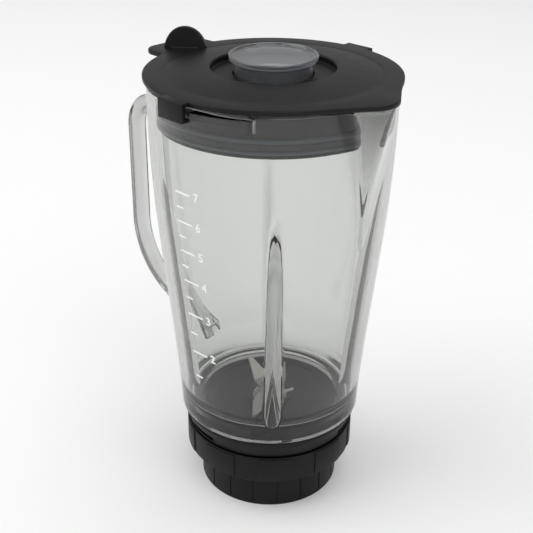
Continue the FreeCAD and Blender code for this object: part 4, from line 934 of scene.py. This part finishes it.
fit(finish_mesh(cap_bm, "filler_cap_smoked", SMOKE), "cap", "smoke_plastic", "filler_cap")

# %% [markdown]
# ## Raised scale
# Cups are marked by ridges pressed on the wall: a long tick at each cup with its number, and a
# short tick between. The marks are made flat, then wrapped: across becomes an angle about the
# axis and height stays, so they lie on the cone of the wall wherever it is.

# %% Scale marks
CUP_HEIGHTS = {2: 114.7, 3: 141.6, 4: 164.3, 5: 184.0, 6: 202.7, 7: 220.7}
SCALE_ANGLE, TICK_LONG, TICK_SHORT, TICK_WIDE, MARK_RISE = -95.0, 12.0, 6.0, 1.1, 0.5
NUMBER_SIZE, NUMBER_GAP = 7.5, 2.2


def slice_across(bm, width, count):
    """Cuts a flat mark into strips, so that it can bend round the wall."""
    for i in range(1, count):
        everything = list(bm.verts) + list(bm.edges) + list(bm.faces)
        place = (metres(width * i / count), 0, 0)
        bmesh.ops.bisect_plane(bm, geom=everything, plane_co=place, plane_no=(1, 0, 0))


def wrap(bm, height):
    """Bends a flat mark, x to the right and y up, round the glass at a height."""
    for vert in bm.verts:
        across, up, out = vert.co / MM
        radius = wall_radius(height + up)
        angle = math.radians(SCALE_ANGLE) + across / radius
        reach = metres(radius - 0.15 + out)
        vert.co = (reach * math.cos(angle), reach * math.sin(angle), metres(height + up))


def tick_mark(width, height):
    bm = bmesh.new()
    corners = [(0, -TICK_WIDE / 2, 0.5), (width, -TICK_WIDE / 2, 0.5), (width, TICK_WIDE / 2, 0.5),
               (0, TICK_WIDE / 2, 0.5)]
    raise_into(bm, rounded(corners, steps=3), 0, MARK_RISE, 0.2, 2)
    slice_across(bm, width, 6)
    wrap(bm, height)
    return bm


def number_mark(value, height):
    text = bpy.data.curves.new(f"number_{value}", "FONT")
    text.body, text.size, text.extrude = str(value), metres(NUMBER_SIZE), metres(MARK_RISE / 2)
    text.bevel_depth, text.resolution_u = metres(0.08), 3
    holder = bpy.data.objects.new(text.name, text)
    bpy.context.scene.collection.objects.link(holder)
    bpy.context.view_layer.update()
    bm = bmesh.new()
    bm.from_mesh(holder.to_mesh())
    bpy.data.objects.remove(holder)
    bmesh.ops.remove_doubles(bm, verts=bm.verts, dist=metres(0.004))
    shift = (metres(TICK_LONG + NUMBER_GAP), metres(-NUMBER_SIZE * 0.36), metres(MARK_RISE / 2))
    bmesh.ops.translate(bm, verts=bm.verts, vec=shift)
    wrap(bm, height)
    return bm


def join_into(bm, part):
    """Moves one bmesh's shape into another."""
    passing = bpy.data.meshes.new("passing")
    part.to_mesh(passing)
    part.free()
    bm.from_mesh(passing)
    bpy.data.meshes.remove(passing)


scale_bm = bmesh.new()
levels = sorted(CUP_HEIGHTS.items())
for cups, height in levels:
    join_into(scale_bm, tick_mark(TICK_LONG, height))
    join_into(scale_bm, number_mark(cups, height))
heights = [96.7] + [height for _, height in levels]
for low, high in zip(heights, heights[1:]):
    if low != heights[0]:
        join_into(scale_bm, tick_mark(TICK_SHORT, (low + high) / 2))
join_into(scale_bm, tick_mark(TICK_SHORT, heights[0]))
fit(finish_mesh(scale_bm, "cup_scale_raised", SCALE), "jug", "glass")

# %% [markdown]
# ## Hidden working parts
# Bearing, bushes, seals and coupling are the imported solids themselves. They are seen from below
# and when the blade unit comes out, so they get the finish of their real material.

# %% Finishes of the carried-over solids
FINISHES = {
    "base_seal": RUBBER, "shaft_seal": RUBBER, "drive_coupling": RUBBER,
    "bearing_sleeve": TURNED, "bearing_washer": TURNED, "bearing_nut": TURNED, "blade_shaft": TURNED,
    "circlip": TURNED, "thrust_washer": TURNED, "lock_washer": TURNED, "blade_spacer": TURNED,
    "coupling_insert": TURNED, "upper_bush": BRONZE, "lower_bush": BRONZE,
}
for node, finish in FINISHES.items():
    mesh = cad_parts[node].data
    mesh.materials.clear()
    mesh.materials.append(finish)
print("finished", len(FINISHES), "carried-over solids")

# %% [markdown]
# ## Floor and light
# The jug stands on a plain pale floor in a pale surround. One large soft light hangs above and
# to the left, a weaker one fills from the right, a third lights the top from behind, and the
# bright surround gives the glass something even to bend.

# %% Floor, world and lights
floor_bm = bmesh.new()
bmesh.ops.create_grid(floor_bm, x_segments=1, y_segments=1, size=6)
floor_mesh = bpy.data.meshes.new("floor")
floor_bm.to_mesh(floor_mesh)
floor_bm.free()
floor = bpy.data.objects.new("floor", floor_mesh)
bpy.context.scene.collection.objects.link(floor)
floor_material, floor_tree, floor_shader = new_material("floor_painted_matt", {"Roughness": 0.9})
floor_tree.links.new(blend_colours(floor_tree, noise(floor_tree, 900, 2), "#f0f0ef", "#f3f3f2"),
                     floor_shader.inputs["Base Color"])
floor_mesh.materials.append(floor_material)
floor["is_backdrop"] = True

world = bpy.data.worlds.new("soft_surround")
world.use_nodes = True
world.node_tree.nodes["Background"].inputs["Color"].default_value = linear("#f4f5f6")
world.node_tree.nodes["Background"].inputs["Strength"].default_value = 0.55
bpy.context.scene.world = world


def soft_light(name, place, size, power):
    """A square area light aimed at the jug's middle."""
    data = bpy.data.lights.new(name, "AREA")
    data.shape, data.size, data.energy = "SQUARE", size, power
    lamp = bpy.data.objects.new(name, data)
    bpy.context.scene.collection.objects.link(lamp)
    place = Vector(place)
    aim = (Vector((0, 0, 0.15)) - place).to_track_quat("-Z", "Y")
    lamp.matrix_world = Matrix.Translation(place) @ aim.to_matrix().to_4x4()


soft_light("key_softbox", (-1.6, -2.0, 2.6), 3.6, 72)
soft_light("fill_softbox", (2.4, -1.0, 2.4), 3.0, 40)
soft_light("top_softbox", (0.2, 0.9, 3.0), 2.6, 24)
bpy.context.scene.view_settings.view_transform = "Standard"
print("lights:", sorted(lamp.name for lamp in bpy.data.lights))

low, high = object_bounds()
print("visual box", [round(x, 4) for x in low], [round(x, 4) for x in high])
